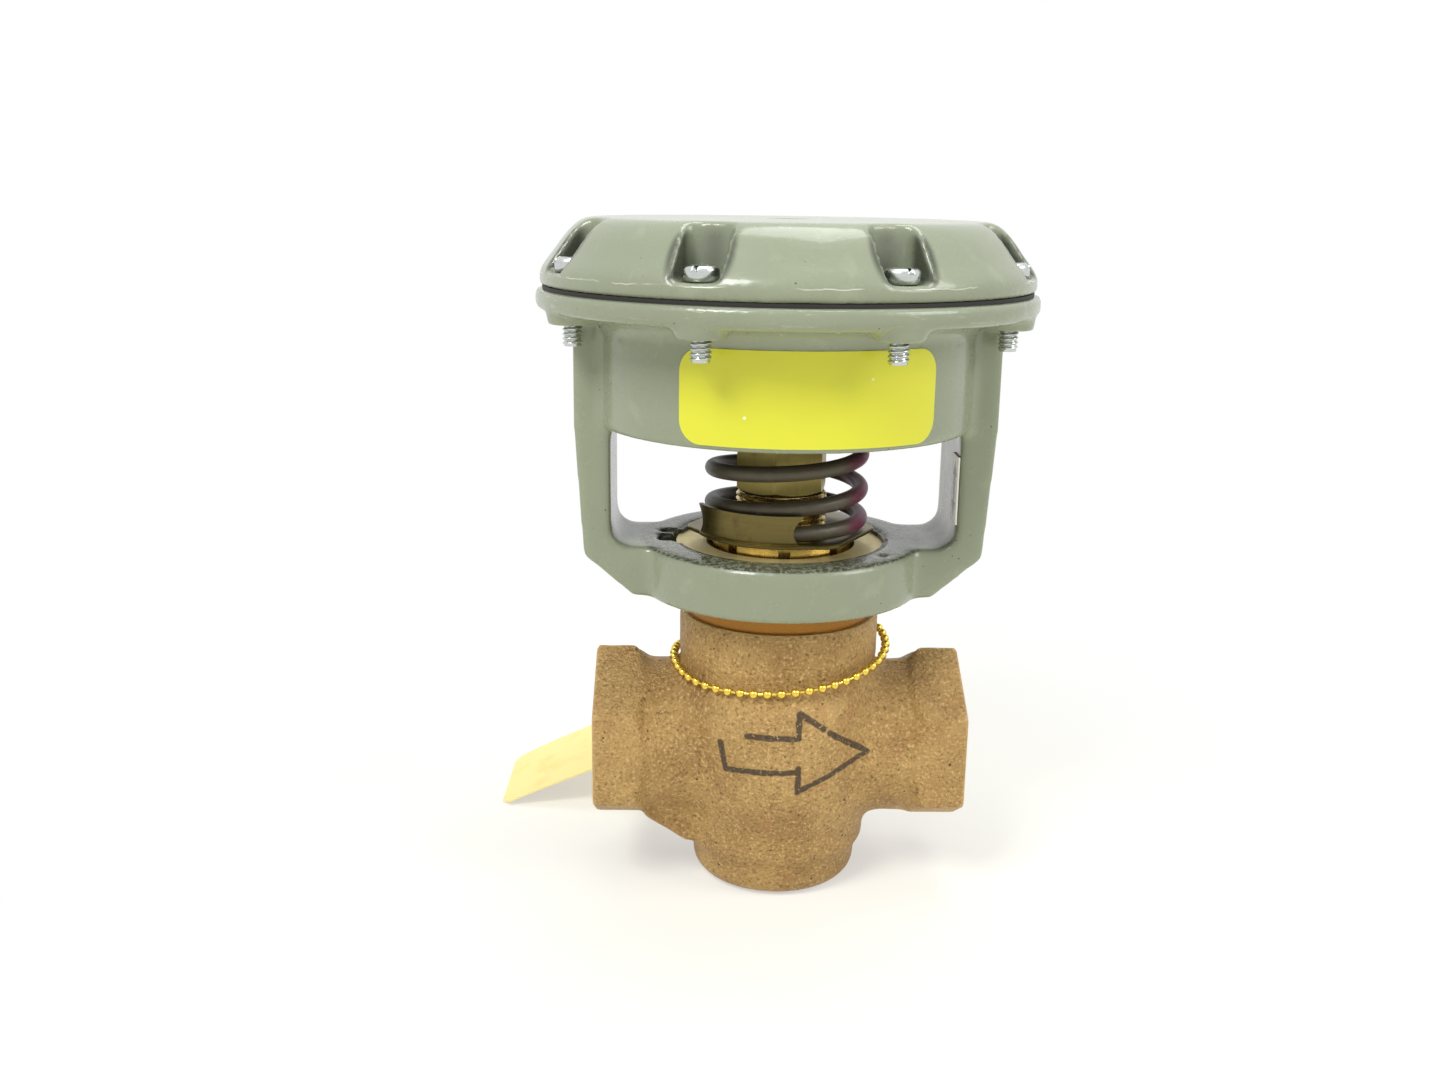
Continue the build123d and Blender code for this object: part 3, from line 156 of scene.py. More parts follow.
class ValveSizes(bpy.types.PropertyGroup):
    """Sizes of the pieces that are modelled here."""

    body_grid: length_property("Body grid", "Face size of the bronze casting's skin", 0.66)
    yoke_grid: length_property("Yoke grid", "Face size of the yoke casting's skin", 0.8)
    cover_grid: length_property("Cover grid", "Face size of the cover casting's skin", 0.7)
    sand_depth: length_property("Sand depth", "Unevenness that the sand mould leaves", 0.16)
    sand_size: length_property("Sand size", "Width of that unevenness", 1.9)
    pipe_bore: length_property("Pipe bore", "Crest radius of the pipe thread", 15.3)
    pipe_thread_depth: length_property("Pipe thread depth", "Height of the pipe thread", 1.15)
    pipe_pitch: length_property("Pipe pitch", "Pitch of the pipe thread", 2.209)
    pipe_depth: length_property("Pipe depth", "Length of the pipe thread", 15.6)
    post_pitch: length_property("Post pitch", "Pitch of the thread on the bonnet's post", 1.27)
    screw_radius: length_property("Screw radius", "Outer radius of the cover screws", 2.4)
    screw_pitch: length_property("Screw pitch", "Pitch of the cover screws", 1.06)
    wire: length_property("Spring wire", "Wire diameter of the main spring", 4.0)
    spring_radius: length_property("Spring radius", "Radius of the main spring to the wire's centre", 19.0)
    closed_pitch: length_property("Closed pitch", "Rise of the closed turn at each end", 4.3)
    open_turns: IntProperty(name="Open turns", description="Working turns of the main spring", default=5,
                            min=1)
    seat_sheet: length_property("Seat sheet", "Sheet thickness of the spring seat", 1.0)
    seat_hole: length_property("Seat hole", "Radius of the hole in the spring seat", 11.15)
    seat_wall: length_property("Seat wall", "Height of the seat's upturned wall", 7.4)
    label_corner: length_property("Label corner", "Corner radius of the label", 5.5)
    label_thickness: length_property("Label thickness", "Thickness of the label", 0.25)
    tag_bow: length_property("Tag bow", "Rise of the tag's middle above its ends", 1.7)
    tag_thickness: length_property("Tag thickness", "Thickness of the tag", 0.45)


class ValveColours(bpy.types.PropertyGroup):
    """Colours of the finishes."""

    paint: colour_property("Paint", "Gloss paint on the yoke and cover", 137, 144, 122)
    bronze: colour_property("Bronze", "Sand-cast bronze", 183, 149, 92)
    brass: colour_property("Brass", "Machined brass", 205, 181, 116)
    # painted shade: a darker brass stands for the shade and dark reflection on the bonnet's flange under the
    # yoke
    shaded_bonnet_brass: colour_property("Bonnet brass", "Darkened brass of the bonnet's flange", 150, 104, 44)
    nut_brass: colour_property("Nut brass", "Drawn hexagon brass of the packing nut", 182, 164, 92)
    # painted light: a paler brass makes the lock nut show bright inside the shaded ring
    lit_lock_nut_brass: colour_property("Lock nut brass", "Bright brass of the yoke's lock nut", 236, 220, 160)
    pressed_brass: colour_property("Pressed brass", "Dull sheet brass of the spring seat", 116, 104, 60)
    bead: colour_property("Bead", "Bright brass of the ball chain", 238, 208, 92)
    spring: colour_property("Spring", "Painted spring steel", 84, 77, 61)
    spring_mark: colour_property("Spring mark", "Colour code brushed along the spring", 122, 44, 82)
    zinc: colour_property("Zinc", "Plated screws", 205, 209, 205)
    steel: colour_property("Steel", "Bright steel", 178, 178, 174)
    aluminium: colour_property("Aluminium", "Cast piston", 172, 174, 172)
    rubber: colour_property("Rubber", "Diaphragm and soft disc", 30, 28, 25)
    label: colour_property("Label", "Bare sticker", 214, 213, 46)
    scale: colour_property("Scale", "White travel scale", 236, 236, 226)
    tag: colour_property("Tag", "Paper tag", 247, 231, 158)
    ink: colour_property("Ink", "Marker strokes on the body", 58, 46, 38)


# Materials

class Finish:
    """Node graph of one material. Each method adds a node and returns its output.

    place is the object's own coordinate in millimetres.
    """

    def __init__(self, name, constants):
        self.material = bpy.data.materials.new(name)
        self.material.use_nodes = True
        self.tree = self.material.node_tree
        self.shader = self.tree.nodes["Principled BSDF"]
        for socket, value in constants.items():
            self.shader.inputs[socket].default_value = value
        coordinates = self.node("ShaderNodeTexCoord")
        self.place = self.vector("SCALE", coordinates.outputs["Object"], scale=1 / MM)
        axes = self.node("ShaderNodeSeparateXYZ")
        self.feed(axes.inputs[0], self.place)
        self.x, self.y, self.z = axes.outputs
        facing = self.node("ShaderNodeSeparateXYZ")
        self.feed(facing.inputs[0], coordinates.outputs["Normal"])
        self.facing_up = facing.outputs[2]

    def node(self, kind, **settings):
        made = self.tree.nodes.new(kind)
        for name, value in settings.items():
            setattr(made, name, value)
        return made

    def feed(self, socket, value):
        if isinstance(value, bpy.types.NodeSocket):
            self.tree.links.new(value, socket)
        else:
            socket.default_value = value

    def vector(self, operation, first, second=None, scale=None):
        made = self.node("ShaderNodeVectorMath", operation=operation)
        self.feed(made.inputs[0], first)
        if second is not None:
            self.feed(made.inputs[1], second)
        if scale is not None:
            self.feed(made.inputs["Scale"], scale)
        return made.outputs["Value" if operation in ("DOT_PRODUCT", "LENGTH") else "Vector"]

    def number(self, operation, first, second=0.0, clamp=False):
        made = self.node("ShaderNodeMath", operation=operation, use_clamp=clamp)
        self.feed(made.inputs[0], first)
        self.feed(made.inputs[1], second)
        return made.outputs[0]

    def step(self, value, low, high):
        """0 below low, 1 above high, smooth between; the other way round where low is above high."""
        made = self.node("ShaderNodeMapRange", interpolation_type="SMOOTHSTEP")
        for socket, number in zip(made.inputs[:3], (value, min(low, high), max(low, high))):
            self.feed(socket, number)
        made.inputs["To Min"].default_value = 0.0 if low < high else 1.0
        made.inputs["To Max"].default_value = 1.0 if low < high else 0.0
        return made.outputs[0]

    def noise(self, size, detail=2.0, roughness=0.5, place=None):
        """Cloudy value about 0.5 whose patches are size millimetres wide."""
        made = self.node("ShaderNodeTexNoise")
        self.feed(made.inputs["Vector"], self.place if place is None else place)
        for socket, value in (("Scale", 1 / size), ("Detail", detail), ("Roughness", roughness)):
            made.inputs[socket].default_value = value
        return made.outputs["Fac"]

    def cells(self, size, place=None):
        """Distance to the nearest of scattered points about size millimetres apart."""
        made = self.node("ShaderNodeTexVoronoi")
        self.feed(made.inputs["Vector"], self.place if place is None else place)
        made.inputs["Scale"].default_value = 1 / size
        return made.outputs["Distance"]

    def stretched(self, x, y, z):
        """The place with each axis drawn out, for streaks."""
        return self.vector("DIVIDE", self.place, (x, y, z))

    def radius(self):
        """Distance from the stem's axis."""
        flat = self.vector("MULTIPLY", self.place, (1, 1, 0))
        return self.vector("LENGTH", flat)

    def wrapped(self, radius, along, up):
        """Place unrolled round the stem's axis at a radius, drawn out along the turn and upwards."""
        angle = self.number("ARCTAN2", self.y, self.x)
        made = self.node("ShaderNodeCombineXYZ")
        self.feed(made.inputs[0], self.number("MULTIPLY", angle, radius / along))
        self.feed(made.inputs[1], self.number("DIVIDE", self.z, up))
        self.feed(made.inputs[2], self.number("DIVIDE", self.radius(), up))
        return made.outputs[0]

    def near_screws(self, low, high):
        """0 beyond high millimetres from the nearest cover screw's axis, 1 within low."""
        sector = self.number("MODULO", self.number("ADD", self.number("ARCTAN2", self.y, self.x), TURN),
                             TURN / SCREW_COUNT)
        across = self.number("MULTIPLY", self.number("SUBTRACT", sector, TURN / SCREW_COUNT / 2),
                             SCREW_CIRCLE / MM)
        outwards = self.number("SUBTRACT", self.radius(), SCREW_CIRCLE / MM)
        made = self.node("ShaderNodeCombineXYZ")
        self.feed(made.inputs[0], across)
        self.feed(made.inputs[1], outwards)
        return self.step(self.vector("LENGTH", made.outputs[0]), high, low)

    def both(self, first, second):
        return self.number("MULTIPLY", first, second, clamp=True)

    def blend(self, amount, first, second):
        """Colour that goes from first to second."""
        made = self.node("ShaderNodeMix", data_type="RGBA")
        self.feed(made.inputs["Factor"], amount)
        for socket, value in ((made.inputs[6], first), (made.inputs[7], second)):
            self.feed(socket, value if isinstance(value, bpy.types.NodeSocket) else (*value, 1))
        return made.outputs[2]

    def between(self, amount, first, second):
        """Number that goes from first to second."""
        made = self.node("ShaderNodeMapRange")
        self.feed(made.inputs[0], amount)
        self.feed(made.inputs["To Min"], first)
        self.feed(made.inputs["To Max"], second)
        return made.outputs[0]

    def bump(self, height, depth, under=None):
        """Bump of a 0 to 1 height, depth millimetres deep, over another bump."""
        made = self.node("ShaderNodeBump")
        made.inputs["Distance"].default_value = depth * MM
        self.feed(made.inputs["Height"], height)
        if under is not None:
            self.feed(made.inputs["Normal"], under)
        return made.outputs[0]

    def edges(self, low, high):
        """1 on outer edges, from low to high of the surface's pointiness."""
        made = self.node("ShaderNodeNewGeometry")
        return self.step(made.outputs["Pointiness"], low, high)

    def stroke(self, start, end):
        """Distance in millimetres from a straight stroke given as (x, z) ends, seen from the front."""
        along = np.subtract(end, start)
        flat = self.vector("MULTIPLY", self.place, (1, 0, 1))
        offset = self.vector("SUBTRACT", flat, (start[0], 0, start[1]))
        per_length = along / (along @ along)
        share = self.vector("DOT_PRODUCT", offset, (per_length[0], 0, per_length[1]))
        share = self.number("MULTIPLY", share, 1.0, clamp=True)
        reached = self.vector("SCALE", (along[0], 0, along[1]), scale=share)
        return self.vector("LENGTH", self.vector("SUBTRACT", offset, reached))

    def finish(self, colour, roughness, normal=None, metallic=None):
        self.feed(self.shader.inputs["Base Color"], colour)
        self.feed(self.shader.inputs["Roughness"], roughness)
        if normal is not None:
            self.feed(self.shader.inputs["Normal"], normal)
        if metallic is not None:
            self.feed(self.shader.inputs["Metallic"], metallic)
        return self.material


def tint(colour, factor):
    """A colour made lighter or darker."""
    return tuple(min(1.0, channel * factor) for channel in colour)


def paint_finish(colours, part):
    """Gloss paint on a casting: orange peel, painted highlight along outer edges, chips, painted shade in
    inner corners, screw pockets and the ring's notch, dark specks on the ring's top, and rim marks.
    """
    finish = Finish(f"painted_{part}", {"Metallic": 0.0, "IOR": 1.4, "Coat Weight": 0.3,
                                        "Coat Roughness": 0.05})
    base = finish.blend(finish.noise(34, 3), tint(colours.paint, 0.9), tint(colours.paint, 1.1))
    smear = finish.step(finish.noise(9, 4, 0.6), 0.56, 0.72)
    base = finish.blend(finish.both(smear, 0.3), base, tint(colours.paint, 1.35))
    # painted highlight: outer edges are lightened in broken patches
    edge = finish.edges(0.535, 0.6)
    broken = finish.step(finish.noise(2.4, 3, 0.65), 0.42, 0.6)
    base = finish.blend(finish.both(finish.both(edge, broken), 0.3), base, srgb(200, 206, 188))
    chips = finish.both(finish.edges(0.55, 0.6), finish.step(finish.noise(1.3, 2), 0.62, 0.66))
    base = finish.blend(chips, base, srgb(196, 194, 184))
    # painted shade: inner corners get a darker copy of the paint
    hollow = finish.both(finish.edges(0.46, 0.4), finish.noise(3, 2))
    base = finish.blend(hollow, base, tint(colours.paint, 0.35))
    specks = finish.both(finish.step(finish.cells(2.6), 0.1, 0.05),
                         finish.step(finish.noise(12, 2), 0.52, 0.6))
    base = finish.blend(specks, base, srgb(58, 55, 48))
    peel = finish.bump(finish.noise(1.5, 3, 0.55), 0.05)
    if part == "yoke":
        rim = finish.both(finish.step(finish.radius(), 58.5, 60.5), finish.step(finish.z, 150.0, 151.5))
        scores = finish.step(finish.noise(1.0, 3, 0.6, finish.wrapped(62, 7.0, 0.9)), 0.6, 0.72)
        marks = finish.both(finish.both(rim, scores), 0.4)
        ring_top = finish.both(finish.step(finish.z, 91.4, 91.9), finish.step(finish.z, 94.5, 93.5))
        ring_top = finish.both(ring_top, finish.step(finish.facing_up, 0.55, 0.85))
        ring_top = finish.both(ring_top, finish.step(finish.radius(), 37.5, 35.5))
        # the ring's top face is darkened in specks
        ring_top_specks = finish.both(ring_top, finish.step(finish.noise(1.0, 4, 0.7), 0.36, 0.56))
        base = finish.blend(finish.both(ring_top_specks, 0.86), base, srgb(58, 57, 42))
        # painted shade: the notch beside the ring's bore is painted near black
        notch = finish.both(finish.step(finish.x, -24.5, -26), finish.step(finish.radius(), 31.9, 31.2))
        level = finish.both(finish.step(finish.z, 86.5, 87.5), finish.step(finish.z, 92.4, 92.0))
        notch = finish.both(notch, level)
        notch = finish.both(notch, finish.step(finish.number("ABSOLUTE", finish.y), 6.6, 6.0))
        base = finish.blend(finish.both(notch, 0.85), base, srgb(28, 26, 20))
        pits = finish.both(ring_top, finish.noise(0.9, 3, 0.7))
        peel = finish.bump(pits, 0.12, peel)
    else:
        wander = finish.between(finish.noise(11, 3, 0.7, finish.wrapped(60, 1, 1e6)), 158.3, 160.3)
        line = finish.step(finish.number("ABSOLUTE", finish.number("SUBTRACT", finish.z, wander)), 0.24, 0.06)
        outer = finish.step(finish.radius(), 57.5, 59.0)
        marks = finish.both(finish.both(line, outer), finish.step(finish.noise(16, 2), 0.46, 0.56))
        # painted shade: the insides of the screw pockets get a near-black copy of the paint
        pocket_shade = finish.both(finish.near_screws(6.6, 8.4), finish.step(finish.z, 159.4, 161.0))
        pocket_shade = finish.both(pocket_shade, finish.step(finish.z, 171.8, 169.0))
        pocket_shade = finish.both(pocket_shade, finish.step(finish.edges(0.5, 0.56), 1.0, 0.0))
        base = finish.blend(finish.both(pocket_shade, 0.9), base, tint(colours.paint, 0.16))
        waves = finish.noise(1.0, 2, 0.4, finish.wrapped(58, 30, 1.7))
        peel = finish.bump(waves, 0.035, peel)
    base = finish.blend(finish.both(marks, 0.62), base, srgb(208, 211, 198))
    peel = finish.bump(marks, 0.12, peel)
    roughness = finish.between(finish.noise(7, 4, 0.6), 0.16, 0.36)
    return finish.finish(base, roughness, peel)


def bronze_finish(colours):
    """Sand-cast bronze: grainy skin, pores, brown hollows, machined faces and the marker's arrow."""
    finish = Finish("cast_bronze", {"IOR": 1.5, "Coat Weight": 0.0})
    patches = finish.noise(15, 4, 0.6)
    base = finish.blend(finish.step(patches, 0.3, 0.72), tint(colours.bronze, 1.08), srgb(160, 124, 72))
    grain = finish.noise(0.8, 4, 0.65)
    base = finish.blend(finish.both(finish.step(grain, 0.53, 0.66), 0.85), base, srgb(216, 184, 124))
    base = finish.blend(finish.both(finish.step(grain, 0.46, 0.32), 0.9), base, srgb(114, 86, 48))
    rust = finish.both(finish.step(finish.noise(6, 3, 0.6), 0.6, 0.76), 0.4)
    base = finish.blend(rust, base, srgb(176, 112, 76))
    hollow = finish.both(finish.edges(0.47, 0.41), 0.75)
    base = finish.blend(hollow, base, srgb(104, 73, 43))
    # lighter outer edges: wear, and a painted highlight along the hexagons' edges
    wear_and_edge_highlight = finish.both(finish.edges(0.515, 0.56), finish.between(finish.noise(1.5, 3), 0.3, 1.0))
    base = finish.blend(wear_and_edge_highlight, base, srgb(218, 182, 132))
    pores = finish.both(finish.step(finish.cells(3.4), 0.13, 0.06),
                        finish.step(finish.noise(9, 2), 0.5, 0.58))
    base = finish.blend(pores, base, srgb(48, 33, 20))
    distance = finish.stroke(*FLOW_ARROW[0])
    for start, end in FLOW_ARROW[1:]:
        distance = finish.number("MINIMUM", distance, finish.stroke(start, end))
    width = finish.between(finish.noise(1.6, 3), 0.2, 1.25)
    ink = finish.step(finish.number("SUBTRACT", distance, width), 0.22, -0.12)
    ink = finish.both(ink, finish.step(finish.y, -10, -12))
    ink = finish.both(ink, finish.step(grain, 0.74, 0.56))
    base = finish.blend(finish.both(ink, 0.88), base, tuple(colours.ink))
    far = finish.number("ABSOLUTE", finish.x)
    end_face = finish.step(far, 47.55, 47.75)
    foot = finish.step(finish.z, 0.35, 0.15)
    collar_top = finish.step(finish.z, 73.05, 73.2)
    machined = finish.number("MAXIMUM", finish.number("MAXIMUM", end_face, foot), collar_top)
    port = finish.vector("LENGTH", finish.vector("MULTIPLY", finish.vector("SUBTRACT", finish.place,
                         (0, 0, PORT_HEIGHT / MM)), (0, 1, 1)))
    bored = finish.both(finish.step(port, 17.0, 16.7), finish.step(far, 30.0, 30.6))
    machined = finish.number("MAXIMUM", machined, bored)
    base = finish.blend(machined, base, srgb(212, 176, 116))
    sand = finish.bump(finish.noise(2.4, 3, 0.6), 0.8)
    sand = finish.bump(grain, 0.75, sand)
    turning = finish.noise(0.25, 2, 0.5, finish.wrapped(1.0, 40, 1.0))
    skin = finish.node("ShaderNodeMix", data_type="VECTOR")
    finish.feed(skin.inputs[0], machined)
    finish.feed(skin.inputs[4], sand)
    finish.feed(skin.inputs[5], finish.bump(turning, 0.02))
    roughness = finish.between(machined, 0.48, 0.3)
    return finish.finish(base, roughness, skin.outputs[1], finish.between(machined, 0.3, 0.95))


def turned_finish(name, colour, roughness, tarnish, metallic=1.0):
    """Lathe-turned metal: fine rings about the stem's axis and a patchy tarnish."""
    finish = Finish(name, {"Metallic": metallic})
    rings = finish.noise(0.3, 3, 0.6, finish.wrapped(1.0, 60, 1.0))
    patches = finish.step(finish.noise(7, 4, 0.6), 0.5, 0.75)
    base = finish.blend(rings, tint(colour, 0.92), tint(colour, 1.07))
    base = finish.blend(finish.both(patches, 0.45), base, tarnish)
    rough = finish.between(finish.noise(2.2, 3), roughness * 0.7, roughness * 1.4)
    return finish.finish(base, rough, finish.bump(rings, 0.012))


def drawn_finish(colours):
    """Drawn hexagon brass: fine lines along the bar, a little tarnish in patches."""
    finish = Finish("nut_brass", {"Metallic": 0.65, "IOR": 1.5})
    lines = finish.noise(1.0, 3, 0.6, finish.wrapped(12, 0.4, 9.0))
    base = finish.blend(lines, tint(colours.nut_brass, 0.78), tint(colours.nut_brass, 1.2))
    patches = finish.step(finish.noise(4, 3, 0.6), 0.52, 0.74)
    base = finish.blend(finish.both(patches, 0.4), base, srgb(130, 108, 54))
    return finish.finish(base, finish.between(lines, 0.34, 0.5), finish.bump(lines, 0.015))


def brushed_finish(colours):
    """Dull pressed brass: drawing marks along the sheet, brown stains."""
    finish = Finish("pressed_brass", {"Metallic": 0.9})
    marks = finish.noise(0.5, 4, 0.65, finish.wrapped(22, 14, 0.6))
    stains = finish.step(finish.noise(5, 4, 0.65), 0.48, 0.72)
    base = finish.blend(marks, tint(colours.pressed_brass, 0.72), tint(colours.pressed_brass, 1.25))
    base = finish.blend(finish.both(stains, 0.65), base, srgb(84, 66, 36))
    return finish.finish(base, finish.between(marks, 0.26, 0.44), finish.bump(marks, 0.02))


def spring_finish(colours):
    """Painted spring wire with a colour code brushed down one side."""
    finish = Finish("spring_steel", {"Metallic": 0.1, "IOR": 1.5})
    base = finish.blend(finish.noise(4, 4, 0.6), tint(colours.spring, 0.65), tint(colours.spring, 1.5))
    ragged = finish.number("ADD", finish.x, finish.number("MULTIPLY", finish.noise(3, 3, 0.6), 8))
    code = finish.both(finish.step(ragged, 17.5, 24.5), 0.85)
    base = finish.blend(code, base, tuple(colours.spring_mark))
    scuffs = finish.step(finish.noise(1.0, 3, 0.6), 0.66, 0.72)
    base = finish.blend(finish.both(scuffs, 0.5), base, srgb(128, 120, 106))
    roughness = finish.between(finish.noise(2, 3), 0.34, 0.52)
    return finish.finish(base, roughness, finish.bump(finish.noise(0.8, 3), 0.06))


def plated_finish(name, colour, roughness):
    """Plated or plain bright metal with fine scratches and dull spots."""
    finish = Finish(name, {"Metallic": 1.0})
    fine = finish.noise(0.7, 4, 0.65)
    base = finish.blend(fine, tint(colour, 0.82), tint(colour, 1.12))
    dull = finish.step(finish.noise(2.6, 3), 0.5, 0.72)
    return finish.finish(base, finish.between(dull, roughness, roughness * 1.9), finish.bump(fine, 0.012))


def rubber_finish(colours):
    """Black rubber with a dusty bloom."""
    finish = Finish("black_rubber", {"Metallic": 0.0})
    bloom = finish.noise(3, 4, 0.6)
    base = finish.blend(bloom, tint(colours.rubber, 0.7), tint(colours.rubber, 1.8))
    return finish.finish(base, finish.between(bloom, 0.55, 0.8), finish.bump(finish.noise(0.5, 3), 0.03))


def label_finish(colours):
    """Bare vinyl sticker: even yellow, faint ripples, a few pale flecks."""
    finish = Finish("yellow_label", {"Metallic": 0.0, "Coat Weight": 0.25, "Coat Roughness": 0.12})
    base = finish.blend(finish.noise(18, 3), tint(colours.label, 0.96), tint(colours.label, 1.04))
    flecks = finish.both(finish.step(finish.cells(7), 0.06, 0.04),
                         finish.step(finish.noise(11, 2), 0.5, 0.55))
    base = finish.blend(flecks, base, srgb(244, 244, 214))
    ripples = finish.bump(finish.noise(9, 2, 0.4), 0.08)
    roughness = finish.between(finish.noise(5, 3), 0.3, 0.42)
    return finish.finish(base, roughness, finish.bump(finish.noise(0.6, 2), 0.008, ripples))


def tag_finish(colours):
    """Stiff manila paper: fibres and warm stains."""
    finish = Finish("tag_paper", {"Metallic": 0.0, "Sheen Weight": 0.05})
    fibres = finish.noise(0.6, 4, 0.7, finish.stretched(3.0, 1.0, 1.0))
    base = finish.blend(fibres, tint(colours.tag, 0.96), tint(colours.tag, 1.05))
    stains = finish.step(finish.noise(13, 4, 0.6), 0.5, 0.72)
    base = finish.blend(finish.both(stains, 0.6), base, srgb(240, 212, 128))
    return finish.finish(base, finish.between(fibres, 0.7, 0.86), finish.bump(fibres, 0.035))


def scale_finish(colours):
    """White plate with a printed double-ended arrow up its middle."""
    finish = Finish("white_plate", {"Metallic": 0.0, "Coat Weight": 0.2, "Coat Roughness": 0.2})
    middle = (SCALE_LOW + SCALE_HIGH) / 2 / MM
    reach = (SCALE_HIGH[2] - SCALE_LOW[2]) / 2 / MM - 1.2
    across = finish.number("ABSOLUTE", finish.number("SUBTRACT", finish.y, float(middle[1])))
    up = finish.number("ABSOLUTE", finish.number("SUBTRACT", finish.z, float(middle[2])))
    left = finish.number("SUBTRACT", float(reach), up)
    head = finish.both(finish.step(left, 4.2, 4.0), finish.step(finish.number("SUBTRACT", across,
                       finish.number("MULTIPLY", left, 0.62)), 0.08, -0.08))
    shaft = finish.both(finish.step(across, 1.15, 1.0), finish.step(left, 2.5, 2.7))
    print_mask = finish.both(finish.number("MAXIMUM", head, shaft),
                             finish.step(finish.noise(0.7, 3), 0.28, 0.36))
    base = finish.blend(finish.noise(4, 3), tint(colours.scale, 0.9), tint(colours.scale, 1.0))
    base = finish.blend(print_mask, base, srgb(34, 32, 28))
    return finish.finish(base, finish.between(finish.noise(2, 3), 0.35, 0.5), finish.bump(print_mask, 0.01))


def make_finishes():
    """All materials by their slot, made once."""
    colours = bpy.context.scene.valve_colours
    return {
        "cast_bronze": bronze_finish(colours),
        "painted_yoke": paint_finish(colours, "yoke"),
        "painted_cover": paint_finish(colours, "cover"),
        "machined_brass": turned_finish("machined_brass", colours.brass, 0.26, srgb(150, 112, 62)),
        # painted shade in the bonnet's darker brass
        "shaded_bonnet_brass": turned_finish("shaded_bonnet_brass", colours.shaded_bonnet_brass, 0.27, srgb(112, 70, 32), 0.85),
        # painted light in the lock nut's paler brass
        "lit_lock_nut_brass": turned_finish("lit_lock_nut_brass", colours.lit_lock_nut_brass, 0.42,
                                        srgb(196, 172, 110), 0.6),
        "nut_brass": drawn_finish(colours),
        "bright_brass": plated_finish("bright_brass", colours.bead, 0.16),
        "pressed_brass": brushed_finish(colours),
        "spring_steel": spring_finish(colours),
        "dark_steel": plated_finish("dark_steel", srgb(70, 68, 62), 0.35),
        "stainless": turned_finish("stainless", colours.steel, 0.2, srgb(140, 138, 132)),
        "zinc_plate": plated_finish("zinc_plate", colours.zinc, 0.2),
        "black_rubber": rubber_finish(colours),
        "cast_aluminium": plated_finish("cast_aluminium", colours.aluminium, 0.4),
        "yellow_label": label_finish(colours),
        "white_plate": scale_finish(colours),
        "tag_paper": tag_finish(colours),
    }


FINISHES = {}


# Mesh helpers

def sheet_faces(rows, columns, wrap_rows=False, wrap_columns=False):
    """Quads between neighbours of a grid of points, joined across its ends where it wraps."""
    row = np.arange(rows if wrap_rows else rows - 1)
    column = np.arange(columns if wrap_columns else columns - 1)
    row, column = np.meshgrid(row, column, indexing="ij")
    next_row = (row + 1) % rows
    next_column = (column + 1) % columns
    corners = [row * columns + column, row * columns + next_column,
               next_row * columns + next_column, next_row * columns + column]
    return np.stack(corners, axis=-1).reshape(-1, 4)


def grid_part(points, wrap_rows=False, wrap_columns=True):
    """Points and quads of a grid given as rows x columns x 3."""
    rows, columns = points.shape[:2]
    return points.reshape(-1, 3), sheet_faces(rows, columns, wrap_rows, wrap_columns)


def add_piece(name, mesh, finish, body, replaced, sharp_angle):
    """Object at the origin with a finish, riding on a body and standing for frame nodes."""
    piece = bpy.data.objects.new(name, mesh)
    bpy.context.scene.collection.objects.link(piece)
    mesh.materials.append(FINISHES[finish])
    mesh.shade_smooth()
    mesh.set_sharp_from_angle(angle=math.radians(sharp_angle))
    if body is not None:
        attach(piece, body)
    if replaced:
        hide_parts(*replaced)
    return piece


def closed_mesh(name, parts, kept=None):
    """Mesh of closed parts, each (points, quads), with poles merged and faces turned outwards."""
    mesh = bpy.data.meshes.new(name)
    counts = np.cumsum([0] + [len(points) for points, _ in parts])
    points = np.concatenate([points for points, _ in parts])
    quads = np.concatenate([quads + start for (_, quads), start in zip(parts, counts)])
    mesh.from_pydata(points, [], quads.tolist())
    shell = bmesh.new()
    shell.from_mesh(mesh)
    if kept is not None:
        shell.from_mesh(kept)
    bmesh.ops.remove_doubles(shell, verts=shell.verts, dist=0.0004 * MM)
    bmesh.ops.recalc_face_normals(shell, faces=shell.faces)
    shell.to_mesh(mesh)
    shell.free()
    return mesh


def grain(points, size, seed):
    """Smooth random value from 0 to 1 at each point.

    Random numbers stand on a cubic lattice of the given size, and the eight round a point are
    averaged with weights 3t^2 - 2t^3 of its distance along each axis.
    """
    lattice = np.random.default_rng(seed).random((LATTICE_SIZE,) * 3)
    place = points / size
    base = np.floor(place).astype(int)
    share = place - base
    share = share * share * (3 - 2 * share)
    total = np.zeros(len(points))
    for corner in np.ndindex(2, 2, 2):
        weight = np.prod(np.where(corner, share, 1 - share), axis=1)
        index = (base + corner) % LATTICE_SIZE
        total += weight * lattice[tuple(index.T)]
    return total


def corner_sum(values, quads, count):
    """Sum of one vector per quad over the quads that meet at each point."""
    total = np.zeros((count, 3))
    for corner in range(4):
        for axis in range(3):
            total[:, axis] += np.bincount(quads[:, corner], values[:, axis], count)
    return total


def point_normals(points, quads):
    """Unit normals: the quads' areas and directions, from their diagonals, summed at each point."""
    across = points[quads[:, 2]] - points[quads[:, 0]]
    up = points[quads[:, 3]] - points[quads[:, 1]]
    total = corner_sum(np.cross(across, up), quads, len(points))
    return total / np.maximum(np.linalg.norm(total, axis=1, keepdims=True), 1e-15)


